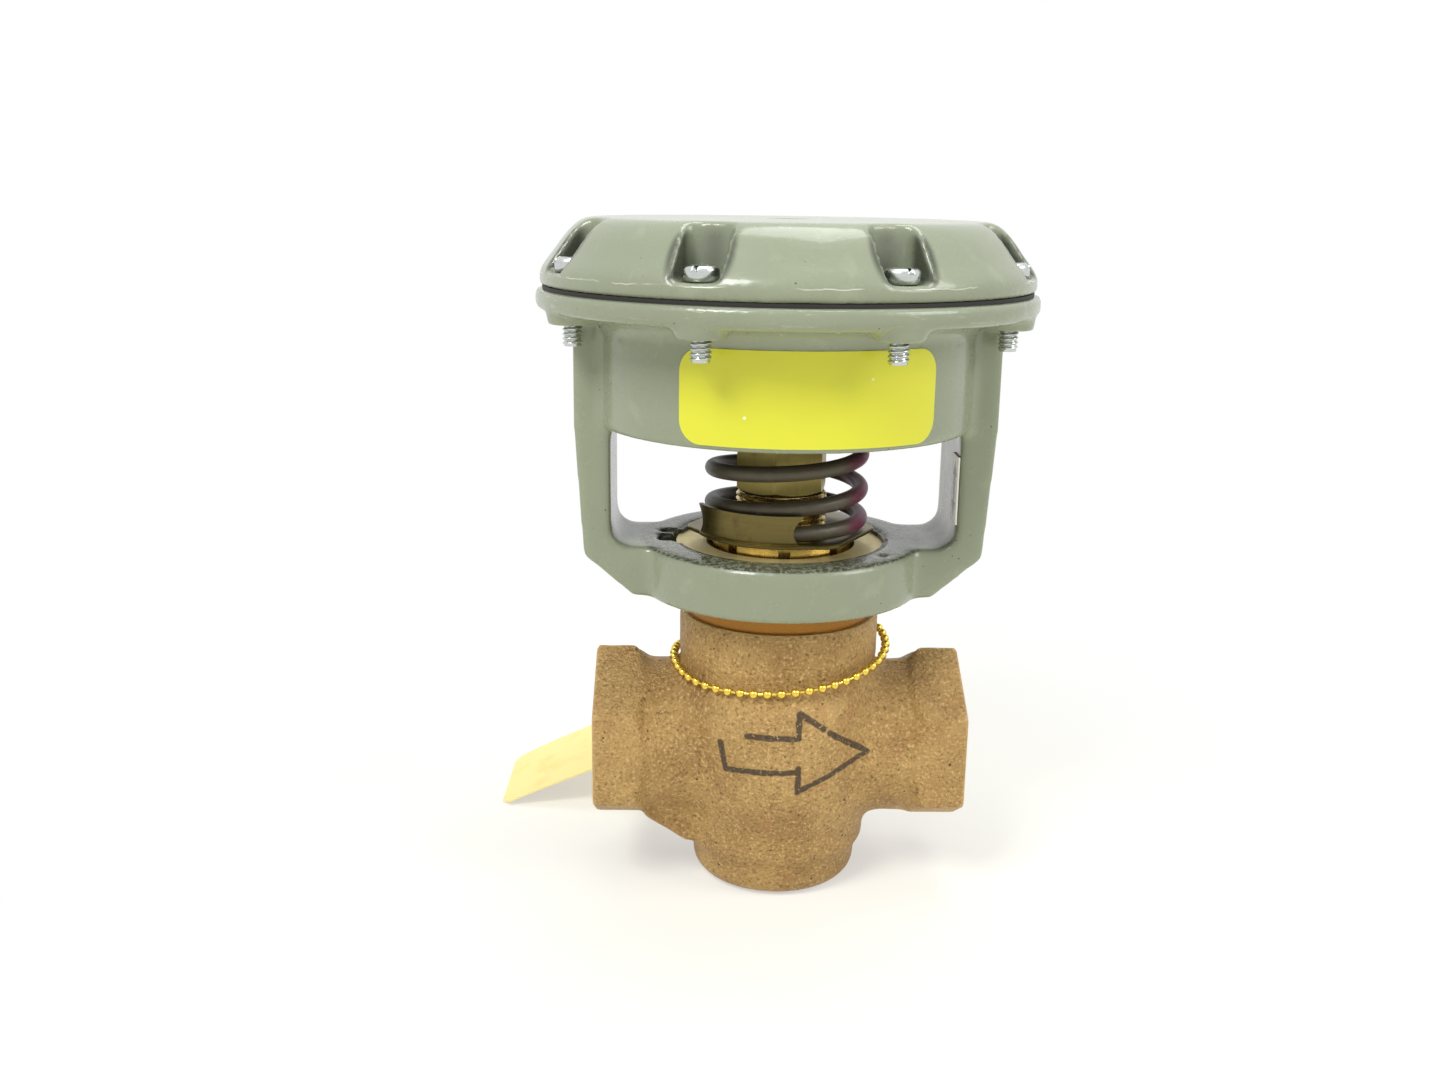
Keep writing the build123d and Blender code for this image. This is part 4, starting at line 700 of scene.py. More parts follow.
def skin_of(node, size):
    """Points and quads of an even grid of quads laid over a frame node's shape."""
    source = bmesh.new()
    source.from_mesh(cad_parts[node].data)
    bmesh.ops.remove_doubles(source, verts=source.verts, dist=WELD)
    mesh = bpy.data.meshes.new(node + "_source")
    source.to_mesh(mesh)
    source.free()
    holder = bpy.data.objects.new(node + "_source", mesh)
    bpy.context.scene.collection.objects.link(holder)
    remesh = holder.modifiers.new("skin", "REMESH")
    remesh.mode = "VOXEL"
    remesh.voxel_size = size
    remesh.adaptivity = 0
    ready = holder.evaluated_get(bpy.context.evaluated_depsgraph_get())
    skin = bpy.data.meshes.new_from_object(ready)
    points = np.zeros(3 * len(skin.vertices), np.float32)
    skin.vertices.foreach_get("co", points)
    corners = np.zeros(len(skin.loops), np.int32)
    skin.loops.foreach_get("vertex_index", corners)
    if len(corners) != 4 * len(skin.polygons) or not len(corners):
        raise RuntimeError(f"the skin of {node} isn't made of quads alone")
    bpy.data.objects.remove(holder)
    bpy.data.meshes.remove(mesh)
    bpy.data.meshes.remove(skin)
    return points.astype(float).reshape(-1, 3), corners.reshape(-1, 4)


def relax(points, quads, rounds, outer_share, free):
    """Fillets the inner corners of a skin and eases its outer edges.

    Each round moves a point towards the mean of its neighbours across the quads. A move outwards,
    which fills an inner corner, counts in full, and a move inwards, which rounds an outer edge,
    counts by outer_share. free is 0 where a point stays and 1 where it moves.
    """
    count = len(points)
    around = np.bincount(quads.ravel(), minlength=count)[:, None]
    for _ in range(rounds):
        centres = points[quads].mean(axis=1)
        step = corner_sum(centres, quads, count) / around - points
        outwards = np.sum(step * point_normals(points, quads), axis=1)
        points = points + step * (np.where(outwards > 0, 1.0, outer_share) * free)[:, None]
    return points


def casting(node, name, size, rounds, outer_share, free_of, shape, finish, slot, seed):
    """Cast skin over a frame node: filleted, eased, shaped, and roughened by the mould."""
    sizes = bpy.context.scene.valve_sizes
    points, quads = skin_of(node, size)
    points = relax(points, quads, 2, 1.0, np.ones(len(points)))
    points = relax(points, quads, rounds, outer_share, free_of(points))
    points = relax(shape(points), quads, 1, 0.5, free_of(points))
    rough = sizes.sand_depth if slot == "cast_bronze" else 0.25 * sizes.sand_depth
    hills = 0.6 * grain(points, sizes.sand_size, seed) + 0.4 * grain(points, 3.1 * sizes.sand_size, seed + 1)
    sunk = rough * hills * free_of(points)
    points = points - point_normals(points, quads) * sunk[:, None]
    mesh = bpy.data.meshes.new(name)
    mesh.from_pydata(points, [], quads.tolist())
    return add_piece(name, mesh, finish, "root", [node], 180)


def near_circle(points, circle, angles, reach):
    """True within reach of an upright axis that stands on a circle at one of the angles."""
    x = points[:, :1] - circle * np.cos(angles)
    y = points[:, 1:2] - circle * np.sin(angles)
    return np.min(np.hypot(x, y), axis=1) < reach


def near_screws(points, reach):
    """True within reach of a cover screw's axis."""
    return near_circle(points, SCREW_CIRCLE, SCREW_ANGLES, reach)


# Castings

def body_free(points):
    """The body's machined faces stay: port ends, foot, collar face and the bonnet's bore.

    The hexagonal ends and the boss keep most of their edges, and the globe's corners fill in full.
    """
    sizes = bpy.context.scene.valve_sizes
    x = np.abs(points[:, 0])
    port = np.hypot(points[:, 1], points[:, 2] - PORT_HEIGHT)
    radius = np.hypot(points[:, 0], points[:, 1])
    bore = (x > BODY_HIGH[0] - sizes.pipe_depth - 2.2 * MM) & (port < sizes.pipe_bore + 2.7 * MM)
    face = x > BODY_HIGH[0] - 0.3 * MM
    foot = points[:, 2] < 0.3 * MM
    collar = (points[:, 2] > BODY_HIGH[2] - 0.3 * MM) | ((radius < 21 * MM) & (points[:, 2] > 59 * MM))
    crisp = np.clip((33 * MM - x) / (4 * MM), 0.04, 1)
    crisp = np.where((radius < 25.5 * MM) & (points[:, 2] < 13 * MM), 0.3, crisp)
    return np.where(bore | face | foot | collar, 0.0, crisp)


def body_shape(points):
    """Port bores opened to the thread's root, and the mould's seam along the middle plane.

    The radius about the pipe axis grows by the thread's depth at the bore's wall, falling to nothing
    2.7 mm further out. The seam is a low ridge exp(-(y / 0.7 mm)^2) high on the outer skin.
    """
    sizes = bpy.context.scene.valve_sizes
    shaped = points.copy()
    port = np.hypot(points[:, 1], points[:, 2] - PORT_HEIGHT)
    start = BODY_HIGH[0] - sizes.pipe_depth - 0.8 * MM
    along = np.clip((np.abs(points[:, 0]) - start) / MM, 0, 1)
    wall = np.clip(1 - (port - sizes.pipe_bore) / (2.7 * MM), 0, 1) * (port > sizes.pipe_bore - 0.8 * MM)
    growth = 1 + sizes.pipe_thread_depth * along * wall / np.maximum(port, MM)
    shaped[:, 1] = points[:, 1] * growth
    shaped[:, 2] = PORT_HEIGHT + (points[:, 2] - PORT_HEIGHT) * growth
    far = np.abs(points[:, 0])
    outside = (far > 24 * MM) & (port > 18 * MM) & (far < BODY_HIGH[0] - 0.5 * MM)
    wander = 0.6 * MM * (grain(points * (1, 0, 0), 9 * MM, 5) - 0.5)
    seam = np.exp(-((points[:, 1] - wander) / (0.7 * MM)) ** 2) * outside
    lift = 0.5 * MM * seam * (0.4 + grain(points, 4 * MM, 6)) / np.maximum(port, MM)
    shaped[:, 1] += points[:, 1] * lift
    shaped[:, 2] += (points[:, 2] - PORT_HEIGHT) * lift
    shaped[:, 2] = np.maximum(shaped[:, 2], BODY_LOW[2])
    return shaped


def yoke_free(points):
    """The yoke's screw holes, lip, notch, dimples and top face stay, and the drum beside the label."""
    radius = np.hypot(points[:, 0], points[:, 1])
    lip = (radius < 28.6 * MM) & (points[:, 2] < RING_TOP + MM)
    notch = (points[:, 0] < -24 * MM) & (np.abs(points[:, 1]) < 8 * MM) & (radius < 33 * MM)
    dimple = near_circle(points, DIMPLE_CIRCLE, np.radians(DIMPLE_ANGLES), 2.6 * MM)
    dimple = dimple & (points[:, 2] > RING_TOP - 2 * MM)
    drum = (np.abs(radius - DRUM_RADIUS) < 0.7 * MM) & (np.abs(points[:, 1]) > 17 * MM)
    drum = drum & (points[:, 2] > LABEL_LOW[2] - 0.4 * MM)
    turn = np.clip((points[:, 2] - LABEL_HIGH[2] - 0.6 * MM) / (1.5 * MM), 0, 1)
    flange = np.where(points[:, 2] > LABEL_HIGH[2] + 1.2 * MM, 0.25, 1.0)
    flange = np.where(near_screws(points, 8 * MM), 0.12, flange)
    face = points[:, 2] > YOKE_TOP - 0.4 * MM
    held = near_screws(points, 3.1 * MM) | lip | notch | face | (dimple & (points[:, 2] < RING_TOP + MM))
    return np.where(held, 0.0, np.where(drum, turn, flange))


def cover_free(points):
    """The cover's screw holes, its joint face and its air port stay."""
    radius = np.hypot(points[:, 0], points[:, 1])
    face = points[:, 2] < COVER_BOTTOM + 0.4 * MM
    return np.where(near_screws(points, 3.0 * MM) | face | (radius < 6 * MM), 0.0, 1.0)


def unchanged(points):
    """No shaping."""
    return points


# Threads, screws and the spring

def threaded(pitch, root, crest, wall, low, high, columns, rows_per_turn=8):
    """Closed threaded sleeve about Z.

    The threaded side's radius is root + (crest - root) * ridge. ridge is a flat-topped wave of height
    over pitch less angle over a full turn, faded at both ends, and the other side is a plain
    cylinder of radius wall, or a pole where wall is 0.
    """
    rows = int((high - low) / pitch * rows_per_turn) + 1
    height = np.linspace(low, high, rows)[:, None]
    angle = np.linspace(0, TURN, columns, endpoint=False)[None, :]
    wave = np.abs(2 * ((height / pitch - angle / TURN) % 1) - 1)
    ends = np.clip(np.minimum(height - low, high - height) / (0.6 * pitch), 0, 1)
    ridge = np.clip(1.5 * wave - 0.25, 0, 1) * ends
    radius = root + (crest - root) * ridge
    side = np.stack([radius * np.cos(angle), radius * np.sin(angle), height + 0 * angle], axis=-1)
    top = side[-1:].copy()
    bottom = side[:1].copy()
    for level in (top, bottom):
        level[..., :2] *= wall / root
    return grid_part(np.concatenate([side, top, bottom]), wrap_rows=True)


def along_pipe(points, side):
    """Points made about Z, laid along the pipe axis on the inlet (-1) or outlet (1) side."""
    turned = points[:, [2, 0, 1]] * (side, side, 1)
    return turned + (0, 0, PORT_HEIGHT)


def port_thread_parts():
    """Thread inside both pipe ends, each from its mouth inwards."""
    sizes = bpy.context.scene.valve_sizes
    root = sizes.pipe_bore + sizes.pipe_thread_depth
    high = BODY_HIGH[0] - 0.9 * MM
    low = BODY_HIGH[0] - sizes.pipe_depth
    points, quads = threaded(sizes.pipe_pitch, root - 0.1 * MM, sizes.pipe_bore, root + 0.2 * MM, low,
                             high, 96)
    return [(along_pipe(points, side), quads) for side in (-1, 1)]


def screw_parts():
    """Threaded shanks of the cover screws, with a bluntly pointed end."""
    sizes = bpy.context.scene.valve_sizes
    root = sizes.screw_radius - 0.42 * MM
    shank = threaded(sizes.screw_pitch, root, sizes.screw_radius, 0.0, SCREW_BOTTOM, COVER_BOTTOM, 24, 7)
    return [(shank[0] + (SCREW_CIRCLE * math.cos(angle), SCREW_CIRCLE * math.sin(angle), 0), shank[1])
            for angle in SCREW_ANGLES]


def screw_heads():
    """The frame's screws above the joint of cover and flange, closed where they are cut."""
    heads = bmesh.new()
    heads.from_mesh(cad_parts["cover_screws"].data)
    bmesh.ops.remove_doubles(heads, verts=heads.verts, dist=WELD)
    everything = heads.verts[:] + heads.edges[:] + heads.faces[:]
    bmesh.ops.bisect_plane(heads, geom=everything, plane_co=(0, 0, COVER_BOTTOM + 0.05 * MM),
                           plane_no=(0, 0, 1), clear_inner=True)
    rims = [edge for edge in heads.edges if len(edge.link_faces) == 1]
    bmesh.ops.holes_fill(heads, edges=rims, sides=0)
    mesh = bpy.data.meshes.new("screw_heads")
    heads.to_mesh(mesh)
    heads.free()
    return mesh


def spring_part():
    """Main spring: a round wire carried along a helix with a closed turn at each end.

    After t turns the wire's centre has risen by pitch * t^2 in the first turn, evenly in the open
    turns, and as the first turn mirrored in the last. The ends are closed to a point at the centre.
    """
    sizes = bpy.context.scene.valve_sizes
    turns = sizes.open_turns + 2
    low = SPRING_LOW[2] + sizes.wire / 2
    high = SPRING_HIGH[2] - sizes.wire / 2
    turn = np.linspace(0, turns, 72 * turns + 1)
    rise = (high - low - 2 * sizes.closed_pitch) / sizes.open_turns
    first = sizes.closed_pitch * turn ** 2
    last = high - low - sizes.closed_pitch * (turns - turn) ** 2
    middle = sizes.closed_pitch + rise * (turn - 1)
    height = np.where(turn < 1, first, np.where(turn > turns - 1, last, middle))
    angle = math.pi + TURN * turn
    radial = np.stack([np.cos(angle), np.sin(angle), 0 * angle], axis=-1)
    centre = sizes.spring_radius * radial + ((SPRING_LOW[0] + SPRING_HIGH[0]) / 2, 0, 0)
    centre[:, 2] = low + height
    forward = np.gradient(centre, axis=0)
    forward /= np.linalg.norm(forward, axis=1, keepdims=True)
    upward = np.cross(radial, forward)
    around = np.linspace(0, TURN, 22, endpoint=False)[None, :, None]
    reach = sizes.wire / 2 * (radial[:, None] * np.cos(around) + upward[:, None] * np.sin(around))
    wire = centre[:, None] + reach
    caps = [np.repeat(centre[end, None, None], wire.shape[1], axis=1) for end in (0, -1)]
    return grid_part(np.concatenate([caps[0], wire, caps[1]]))


# Spring seat

def slab(outline_radius, hole, low, high, angle):
    """Flat plate between a round hole and an outline given by its radius at each angle."""
    direction = np.stack([np.cos(angle), np.sin(angle)], axis=-1)
    edge = 0.25 * MM
    levels = [(hole + 0 * angle, low), (outline_radius - edge, low), (outline_radius, low + edge),
              (outline_radius, high - edge), (outline_radius - edge, high), (hole + 0 * angle, high)]
    rows = [np.concatenate([direction * radius[:, None], np.full((len(angle), 1), height)], axis=1)
            for radius, height in levels]
    return grid_part(np.stack(rows), wrap_rows=True)


def seat_parts():
    """Spring seat: six-sided plate with its corners cut, and a wall bent up along its front left.

    The plate's edge is apothem / cos(angle from the nearest side's middle), at most its corner radius.
    The wall is a shell about Z whose ends are hollowed by depth * sin(pi * height share).
    """
    sizes = bpy.context.scene.valve_sizes
    corner = SEAT_HIGH[0]
    top = SEAT_LOW[2] + 2.8 * MM
    wall_start, wall_end = (math.radians(angle) for angle in SEAT_WALL_ANGLES)
    angle = np.linspace(0, TURN, 360, endpoint=False)
    side = (angle % (TURN / 6)) - TURN / 12
    edge = np.minimum(SEAT_APOTHEM / np.cos(side), corner)
    under_wall = (angle > wall_start + TURN) & (angle < wall_end + TURN)
    edge = np.where(under_wall, SEAT_WALL_RADIUS - 0.2 * MM, edge)
    plate = slab(edge, sizes.seat_hole, top - sizes.seat_sheet, top, angle)

    up = np.linspace(0, 1, 25)[:, None]
    hollow = 0.11 * np.sin(math.pi * np.clip(up * 1.12 - 0.06, 0, 1)) ** 0.8
    across = np.linspace(0, 1, 80)[None, :]
    start = wall_start + hollow
    turn = start + (wall_end - hollow - start) * across
    bend = 1.4 * MM * np.clip(1 - up / 0.2, 0, 1) ** 2
    height = top - sizes.seat_sheet + (sizes.seat_wall + sizes.seat_sheet) * up + 0 * across
    faces = []
    for depth in (0.0, sizes.seat_sheet):
        radius = SEAT_WALL_RADIUS - depth - bend + 0 * across
        faces.append(np.stack([radius * np.cos(turn), radius * np.sin(turn), height], axis=-1))
    rows = np.concatenate([faces[0], faces[1][::-1]])
    loop = sheet_faces(rows.shape[0], rows.shape[1], wrap_rows=True)
    count = rows.shape[1]
    ends = []
    for column in (0, count - 1):
        outside = np.arange(len(up)) * count + column
        inside = (2 * len(up) - 1 - np.arange(len(up))) * count + column
        ends.append(np.stack([outside[:-1], outside[1:], inside[1:], inside[:-1]], axis=-1))
    wall = (rows.reshape(-1, 3), np.concatenate([loop, *ends]))
    return [plate, wall]


# Label and tag

def label_part():
    """Sticker round the drum: a rounded rectangle laid flat, then bent to the drum's radius.

    Its outline is a rectangle with quarter-circle corners. Rows run from the middle of the face to
    the outline and back to the middle on the glued side.
    """
    sizes = bpy.context.scene.valve_sizes
    start, end = (math.radians(angle) for angle in LABEL_ANGLES)
    half_width = DRUM_RADIUS * (end - start) / 2
    half_height = (LABEL_HIGH[2] - LABEL_LOW[2]) / 2
    corner = sizes.label_corner
    quarter = np.linspace(0, TURN / 4, 13)
    centres = [(1, 1), (-1, 1), (-1, -1), (1, -1)]
    arcs = []
    for number, (right, up) in enumerate(centres):
        turn = quarter + number * TURN / 4
        arcs.append(np.stack([right * (half_width - corner) + corner * np.cos(turn),
                              up * (half_height - corner) + corner * np.sin(turn)], axis=-1))
    outline = np.concatenate(arcs)
    outline = np.concatenate([np.linspace(a, b, 8, endpoint=False)
                              for a, b in zip(outline, np.roll(outline, -1, axis=0))])
    share = np.concatenate([np.linspace(0, 1, 30), np.linspace(1, 0, 30)])[:, None, None]
    flat = outline[None] * share
    lift = np.concatenate([np.full(30, sizes.label_thickness), np.full(30, 0.02 * MM)])[:, None]
    angle = (start + end) / 2 + flat[..., 0] / DRUM_RADIUS
    radius = DRUM_RADIUS + lift
    middle = (LABEL_HIGH[2] + LABEL_LOW[2]) / 2
    points = np.stack([radius * np.cos(angle), radius * np.sin(angle), middle + flat[..., 1]], axis=-1)
    return grid_part(points)


def tag_part():
    """Paper tag: a sheet between its eyelet hole and its cut outline, bowed along its length.

    Rows run from the hole to the outline on top and back underneath. The sheet rises by
    4 * bow * s * (1 - s) above its slope, where s is the share of the length, and more at its far edge.
    """
    sizes = bpy.context.scene.valve_sizes
    hole_centre = (EYELET_LOW + EYELET_HIGH) / 2
    outer = TAG_LOW[0]
    slope = math.radians(TAG_SLOPE)
    inset, shoulder, corner = 6.5 * MM, 9.0 * MM, 2.5 * MM
    half = (TAG_HIGH[1] - TAG_LOW[1]) / 2
    length = (hole_centre[0] - outer) / math.cos(slope)
    knots = np.array([(inset, 0), (inset, half - shoulder), (inset - shoulder, half),
                      (-length + corner, half), (-length, half - corner), (-length, corner - half),
                      (-length + corner, -half),
                      (inset - shoulder, -half), (inset, shoulder - half)])
    outline = np.concatenate([np.linspace(a, b, 22, endpoint=False)
                              for a, b in zip(knots, np.roll(knots, -1, axis=0))])
    turn = np.arctan2(outline[:, 1], outline[:, 0])
    rim = TAG_HOLE * np.stack([np.cos(turn), np.sin(turn)], axis=-1)
    share = np.concatenate([np.linspace(0, 1, 40), np.linspace(1, 0, 40)])[:, None, None]
    flat = rim[None] + (outline - rim)[None] * share
    side = np.concatenate([np.full(40, 0.5), np.full(40, -0.5)])[:, None] * sizes.tag_thickness
    reach = (flat[..., 0] + length) / (length + inset)
    far = 1 + 0.35 * flat[..., 1] / half
    lift = side + 4 * sizes.tag_bow * reach * (1 - reach) * far * np.clip(-flat[..., 0] / (10 * MM), 0, 1)
    lift = lift + np.maximum(0.0, sizes.tag_thickness / 2 - 0.2 * MM)
    x = hole_centre[0] + flat[..., 0] * math.cos(slope) - lift * math.sin(slope)
    z = hole_centre[2] + flat[..., 0] * math.sin(slope) + lift * math.cos(slope)
    points = np.stack([x, hole_centre[1] + flat[..., 1], np.maximum(z, 0.02 * MM)], axis=-1)
    return grid_part(points, wrap_rows=True)


# Operators

class VALVE_OT_finishes(bpy.types.Operator):
    """Make every material, and give the frame's own pieces theirs"""

    bl_idname = "valve.finishes"
    bl_label = "Finishes"

    nodes_of = {
        "machined_brass": ["seat_ring", "valve_plug", "spring_adjuster"],
        "shaded_bonnet_brass": ["bonnet"],
        "lit_lock_nut_brass": ["yoke_lock_nut"],
        "nut_brass": ["packing_nut"],
        "stainless": ["stem", "disc_washer", "packing_washer", "packing_spring"],
        "zinc_plate": ["disc_nut", "piston_nut", "stem_lock_nut", "clamp_washer", "yoke_screw"],
        "dark_steel": ["snap_ring"],
        "black_rubber": ["seat_disc", "bonnet_gasket", "packing_rings", "diaphragm"],
        "cast_aluminium": ["piston"],
        "bright_brass": ["tag_chain", "chain_clasp", "tag_eyelet"],
        "white_plate": ["travel_scale"],
    }

    def execute(self, context):
        FINISHES.update(make_finishes())
        for finish, names in self.nodes_of.items():
            for name in names:
                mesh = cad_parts[name].data
                mesh.materials.clear()
                mesh.materials.append(FINISHES[finish])
        return {"FINISHED"}


class VALVE_OT_body(bpy.types.Operator):
    """Skin the bronze body as a sand casting"""

    bl_idname = "valve.body"
    bl_label = "Bronze body"

    def execute(self, context):
        casting("valve_body", "bronze_body", context.scene.valve_sizes.body_grid, 42, 0.06,
                body_free, body_shape, "cast_bronze", "cast_bronze", 11)
        return {"FINISHED"}


class VALVE_OT_port_threads(bpy.types.Operator):
    """Cut the pipe thread in both ends"""

    bl_idname = "valve.port_threads"
    bl_label = "Pipe threads"

    def execute(self, context):
        mesh = closed_mesh("pipe_threads", port_thread_parts())
        add_piece("pipe_threads", mesh, "machined_brass", "root", [], 30)
        return {"FINISHED"}


class VALVE_OT_yoke(bpy.types.Operator):
    """Skin the yoke as a painted casting"""

    bl_idname = "valve.yoke"
    bl_label = "Yoke"

    def execute(self, context):
        casting("yoke_housing", "yoke_casting", context.scene.valve_sizes.yoke_grid, 14, 0.1,
                yoke_free, unchanged, "painted_yoke", "painted_casting", 21)
        return {"FINISHED"}


class VALVE_OT_cover(bpy.types.Operator):
    """Skin the cover as a painted casting"""

    bl_idname = "valve.cover"
    bl_label = "Cover"

    def execute(self, context):
        casting("top_cover", "cover_casting", context.scene.valve_sizes.cover_grid, 5, 0.12,
                cover_free, unchanged, "painted_cover", "painted_casting", 31)
        return {"FINISHED"}


class VALVE_OT_cover_screws(bpy.types.Operator):
    """Make the cover screws with real threads"""

    bl_idname = "valve.cover_screws"
    bl_label = "Cover screws"

    def execute(self, context):
        mesh = closed_mesh("threaded_screws", screw_parts(), screw_heads())
        add_piece("threaded_screws", mesh, "zinc_plate", "root", ["cover_screws"], 35)
        return {"FINISHED"}


class VALVE_OT_post_thread(bpy.types.Operator):
    """Thread the bonnet's post above the spring seat"""

    bl_idname = "valve.post_thread"
    bl_label = "Post thread"

    def execute(self, context):
        pitch = context.scene.valve_sizes.post_pitch
        part = threaded(pitch, POST_RADIUS + 0.05 * MM, POST_RADIUS + 0.7 * MM,
                        POST_RADIUS - 0.1 * MM, SEAT_LOW[2] + 3.2 * MM, NUT_BOTTOM - 0.1 * MM, 72)
        mesh = closed_mesh("post_thread", [part])
        add_piece("post_thread", mesh, "machined_brass", "root", [], 30)
        return {"FINISHED"}


class VALVE_OT_spring(bpy.types.Operator):
    """Wind the main spring between its seat and the piston"""

    bl_idname = "valve.spring"
    bl_label = "Main spring"

    def execute(self, context):
        mesh = closed_mesh("wound_spring", [spring_part()])
        piece = add_piece("wound_spring", mesh, "spring_steel", None, ["main_spring"], 50)
        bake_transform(piece)
        return {"FINISHED"}


class VALVE_OT_spring_seat(bpy.types.Operator):
    """Press the spring's seat with its upturned wall"""

    bl_idname = "valve.spring_seat"
    bl_label = "Spring seat"

    def execute(self, context):
        mesh = closed_mesh("pressed_seat", seat_parts())
        add_piece("pressed_seat", mesh, "pressed_brass", "root", ["spring_seat"], 40)
        return {"FINISHED"}


class VALVE_OT_label(bpy.types.Operator):
    """Stick the bare label on the drum"""

    bl_idname = "valve.label"
    bl_label = "Label"

    def execute(self, context):
        mesh = closed_mesh("bare_sticker", [label_part()])
        add_piece("bare_sticker", mesh, "yellow_label", "root", ["blank_label"], 40)
        return {"FINISHED"}


class VALVE_OT_tag(bpy.types.Operator):
    """Hang the paper tag from its eyelet"""

    bl_idname = "valve.tag"
    bl_label = "Paper tag"

    def execute(self, context):
        mesh = closed_mesh("paper_tag", [tag_part()])
        add_piece("paper_tag", mesh, "tag_paper", "tag", ["hang_tag"], 40)
        return {"FINISHED"}


class VALVE_OT_stage(bpy.types.Operator):
    """Set the pale floor, the soft lights, the white surroundings and the camera"""

    bl_idname = "valve.stage"
    bl_label = "Stage"

    def execute(self, context):
        lay_floor()
        light_world()
        for lamp in LAMPS:
            soft_lamp(*lamp)
        place_camera()
        context.scene.view_settings.view_transform = "Standard"
        return {"FINISHED"}


# Stage

def seen_directly(tree):
    """1 for rays of the camera, of reflections and of transmission, and 0 for the rest."""
    path = tree.nodes.new("ShaderNodeLightPath")
    most = path.outputs["Is Camera Ray"]
    for name in ("Is Glossy Ray", "Is Transmission Ray"):
        larger = tree.nodes.new("ShaderNodeMath")
        larger.operation = "MAXIMUM"
        tree.links.new(most, larger.inputs[0])
        tree.links.new(path.outputs[name], larger.inputs[1])
        most = larger.outputs[0]
    return most


def lay_floor():
    """Pale floor that fades to white away from the object."""
    reach = 3.0
    mesh = bpy.data.meshes.new("floor")
    corners = [(-reach, -reach, 0), (reach, -reach, 0), (reach, reach, 0), (-reach, reach, 0)]
    mesh.from_pydata(corners, [], [(0, 1, 2, 3)])
    floor = bpy.data.objects.new("floor", mesh)
    bpy.context.scene.collection.objects.link(floor)
    finish = Finish("pale_floor", {"Roughness": 0.9, "Specular IOR Level": 0.1})
    cloud = finish.noise(40, 3)
    colour = finish.blend(cloud, srgb(252, 251, 238), srgb(250, 248, 232))
    finish.feed(finish.shader.inputs["Base Color"], colour)
    white = finish.node("ShaderNodeEmission")
    white.inputs["Strength"].default_value = 1.0
    distance = finish.vector("LENGTH", finish.vector("MULTIPLY", finish.place, (1, 0.6, 0)))
    fade = finish.between(finish.step(distance, 60, 200), 0.5, 1.0)
    fade = finish.both(fade, seen_directly(finish.tree))
    mix = finish.node("ShaderNodeMixShader")
    finish.feed(mix.inputs[0], fade)
    finish.feed(mix.inputs[1], finish.shader.outputs[0])
    finish.feed(mix.inputs[2], white.outputs[0])
    output = finish.tree.nodes["Material Output"]
    finish.feed(output.inputs["Surface"], mix.outputs[0])
    mesh.materials.append(finish.material)


def light_world():
    """White surroundings that light the object softly and show as plain white."""
    world = bpy.data.worlds.new("surroundings")
    bpy.context.scene.world = world
    world.use_nodes = True
    tree = world.node_tree
    background = tree.nodes["Background"]
    background.inputs["Color"].default_value = (1, 1, 1, 1)
    strength = tree.nodes.new("ShaderNodeMapRange")
    strength.inputs["To Min"].default_value = SHADE_LIGHT
    strength.inputs["To Max"].default_value = 1.0
    tree.links.new(seen_directly(tree), strength.inputs[0])
    tree.links.new(strength.outputs[0], background.inputs["Strength"])


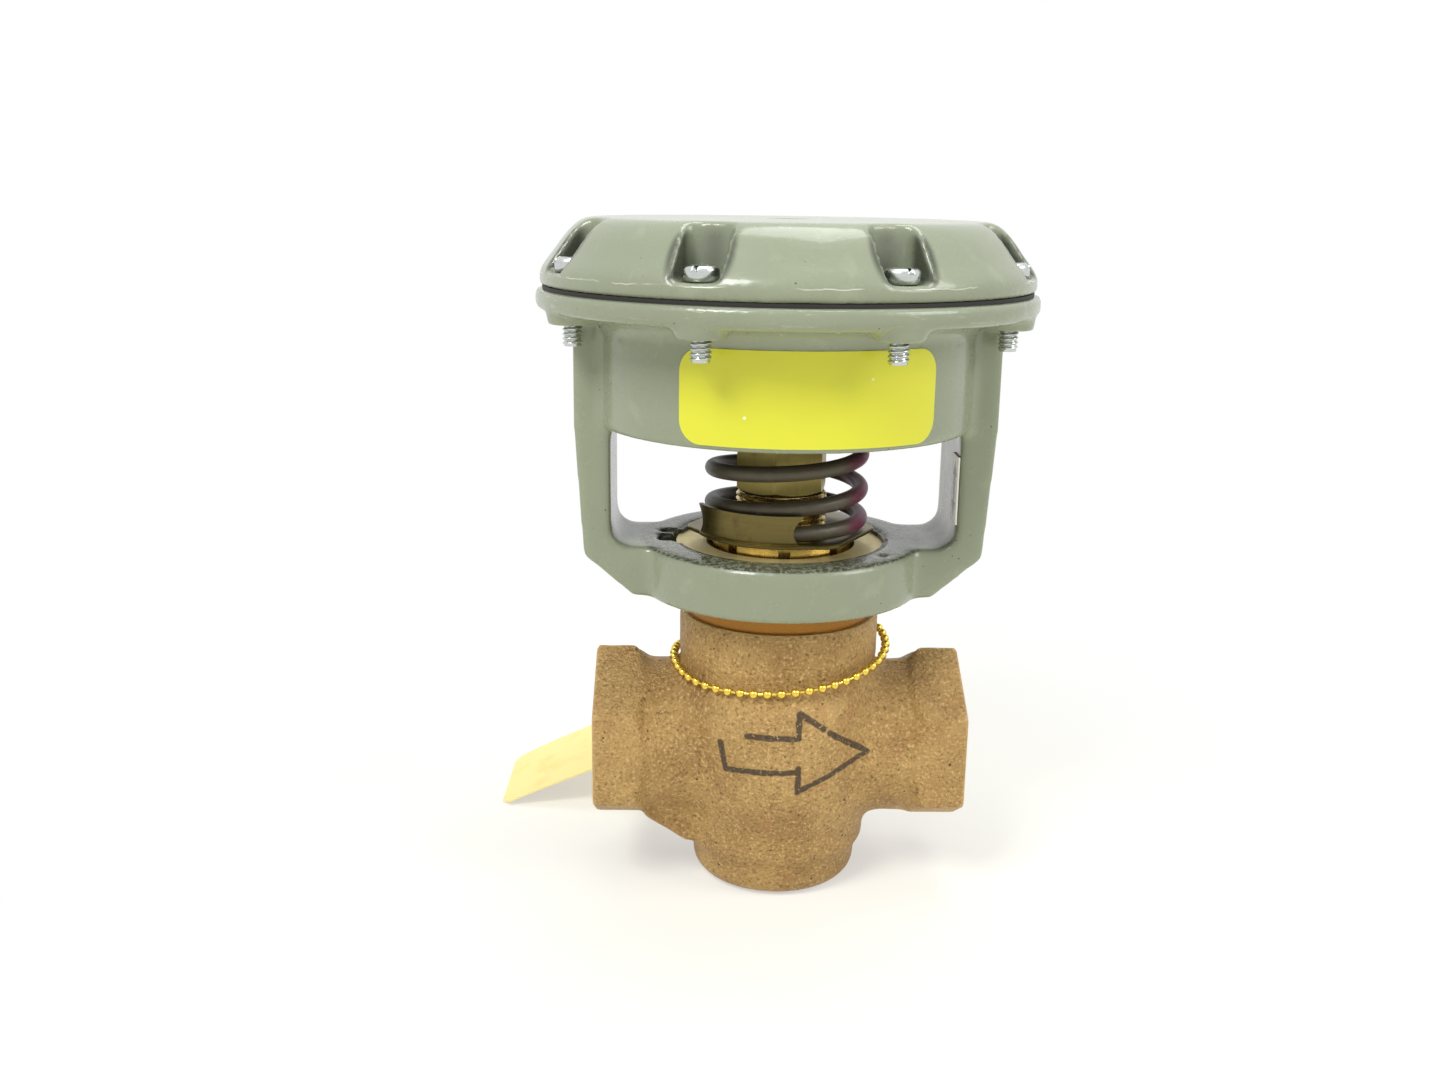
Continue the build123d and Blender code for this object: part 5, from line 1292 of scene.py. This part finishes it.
def soft_lamp(name, place, size, power):
    """Square area lamp that faces the object's middle."""
    lamp = bpy.data.lights.new(name, "AREA")
    lamp.size = size
    lamp.energy = power
    holder = bpy.data.objects.new(name, lamp)
    middle = Vector((0, 0, CAD_BOUNDS[1][2] / 2))
    direction = middle - Vector(place)
    holder.matrix_world = Matrix.Translation(place) @ direction.to_track_quat("-Z", "Y").to_matrix().to_4x4()
    bpy.context.scene.collection.objects.link(holder)


def place_camera():
    """Camera in front of the valve and a little above it, with a slight tilt."""
    camera = bpy.data.cameras.new("camera")
    camera.sensor_width = 36.0
    camera.lens = CAMERA_LENS
    holder = bpy.data.objects.new("camera", camera)
    yaw, pitch, roll = (math.radians(angle) for angle in CAMERA_TURN)
    turn = (Matrix.Rotation(yaw, 4, "Z")
            @ Matrix.Rotation(TURN / 4 - pitch, 4, "X") @ Matrix.Rotation(roll, 4, "Z"))
    holder.matrix_world = Matrix.Translation(CAMERA_PLACE) @ turn
    bpy.context.scene.collection.objects.link(holder)
    bpy.context.scene.camera = holder


# Panel and registration

BUILDERS = (
    VALVE_OT_finishes, VALVE_OT_body, VALVE_OT_port_threads, VALVE_OT_yoke, VALVE_OT_cover,
    VALVE_OT_cover_screws, VALVE_OT_post_thread, VALVE_OT_spring, VALVE_OT_spring_seat, VALVE_OT_label,
    VALVE_OT_tag, VALVE_OT_stage,
)


class VALVE_PT_pieces(bpy.types.Panel):
    """Sizes, colours and builders of the valve"""

    bl_idname = "VALVE_PT_pieces"
    bl_label = "Valve"
    bl_space_type = "VIEW_3D"
    bl_region_type = "UI"
    bl_category = "Valve"

    def draw(self, context):
        for group in (context.scene.valve_sizes, context.scene.valve_colours):
            box = self.layout.box()
            for name in group.__annotations__:
                box.prop(group, name)
        for builder in BUILDERS:
            self.layout.operator(builder.bl_idname)


CLASSES = (ValveSizes, ValveColours, *BUILDERS, VALVE_PT_pieces)


def register():
    for item in CLASSES:
        bpy.utils.register_class(item)
    bpy.types.Scene.valve_sizes = PointerProperty(type=ValveSizes)
    bpy.types.Scene.valve_colours = PointerProperty(type=ValveColours)


def unregister():
    del bpy.types.Scene.valve_colours
    del bpy.types.Scene.valve_sizes
    for item in reversed(CLASSES):
        bpy.utils.unregister_class(item)


def main():
    """Builds every piece."""
    register()
    for builder in BUILDERS:
        group, name = builder.bl_idname.split(".")
        getattr(getattr(bpy.ops, group), name)()


if __name__ == "__main__":
    main()
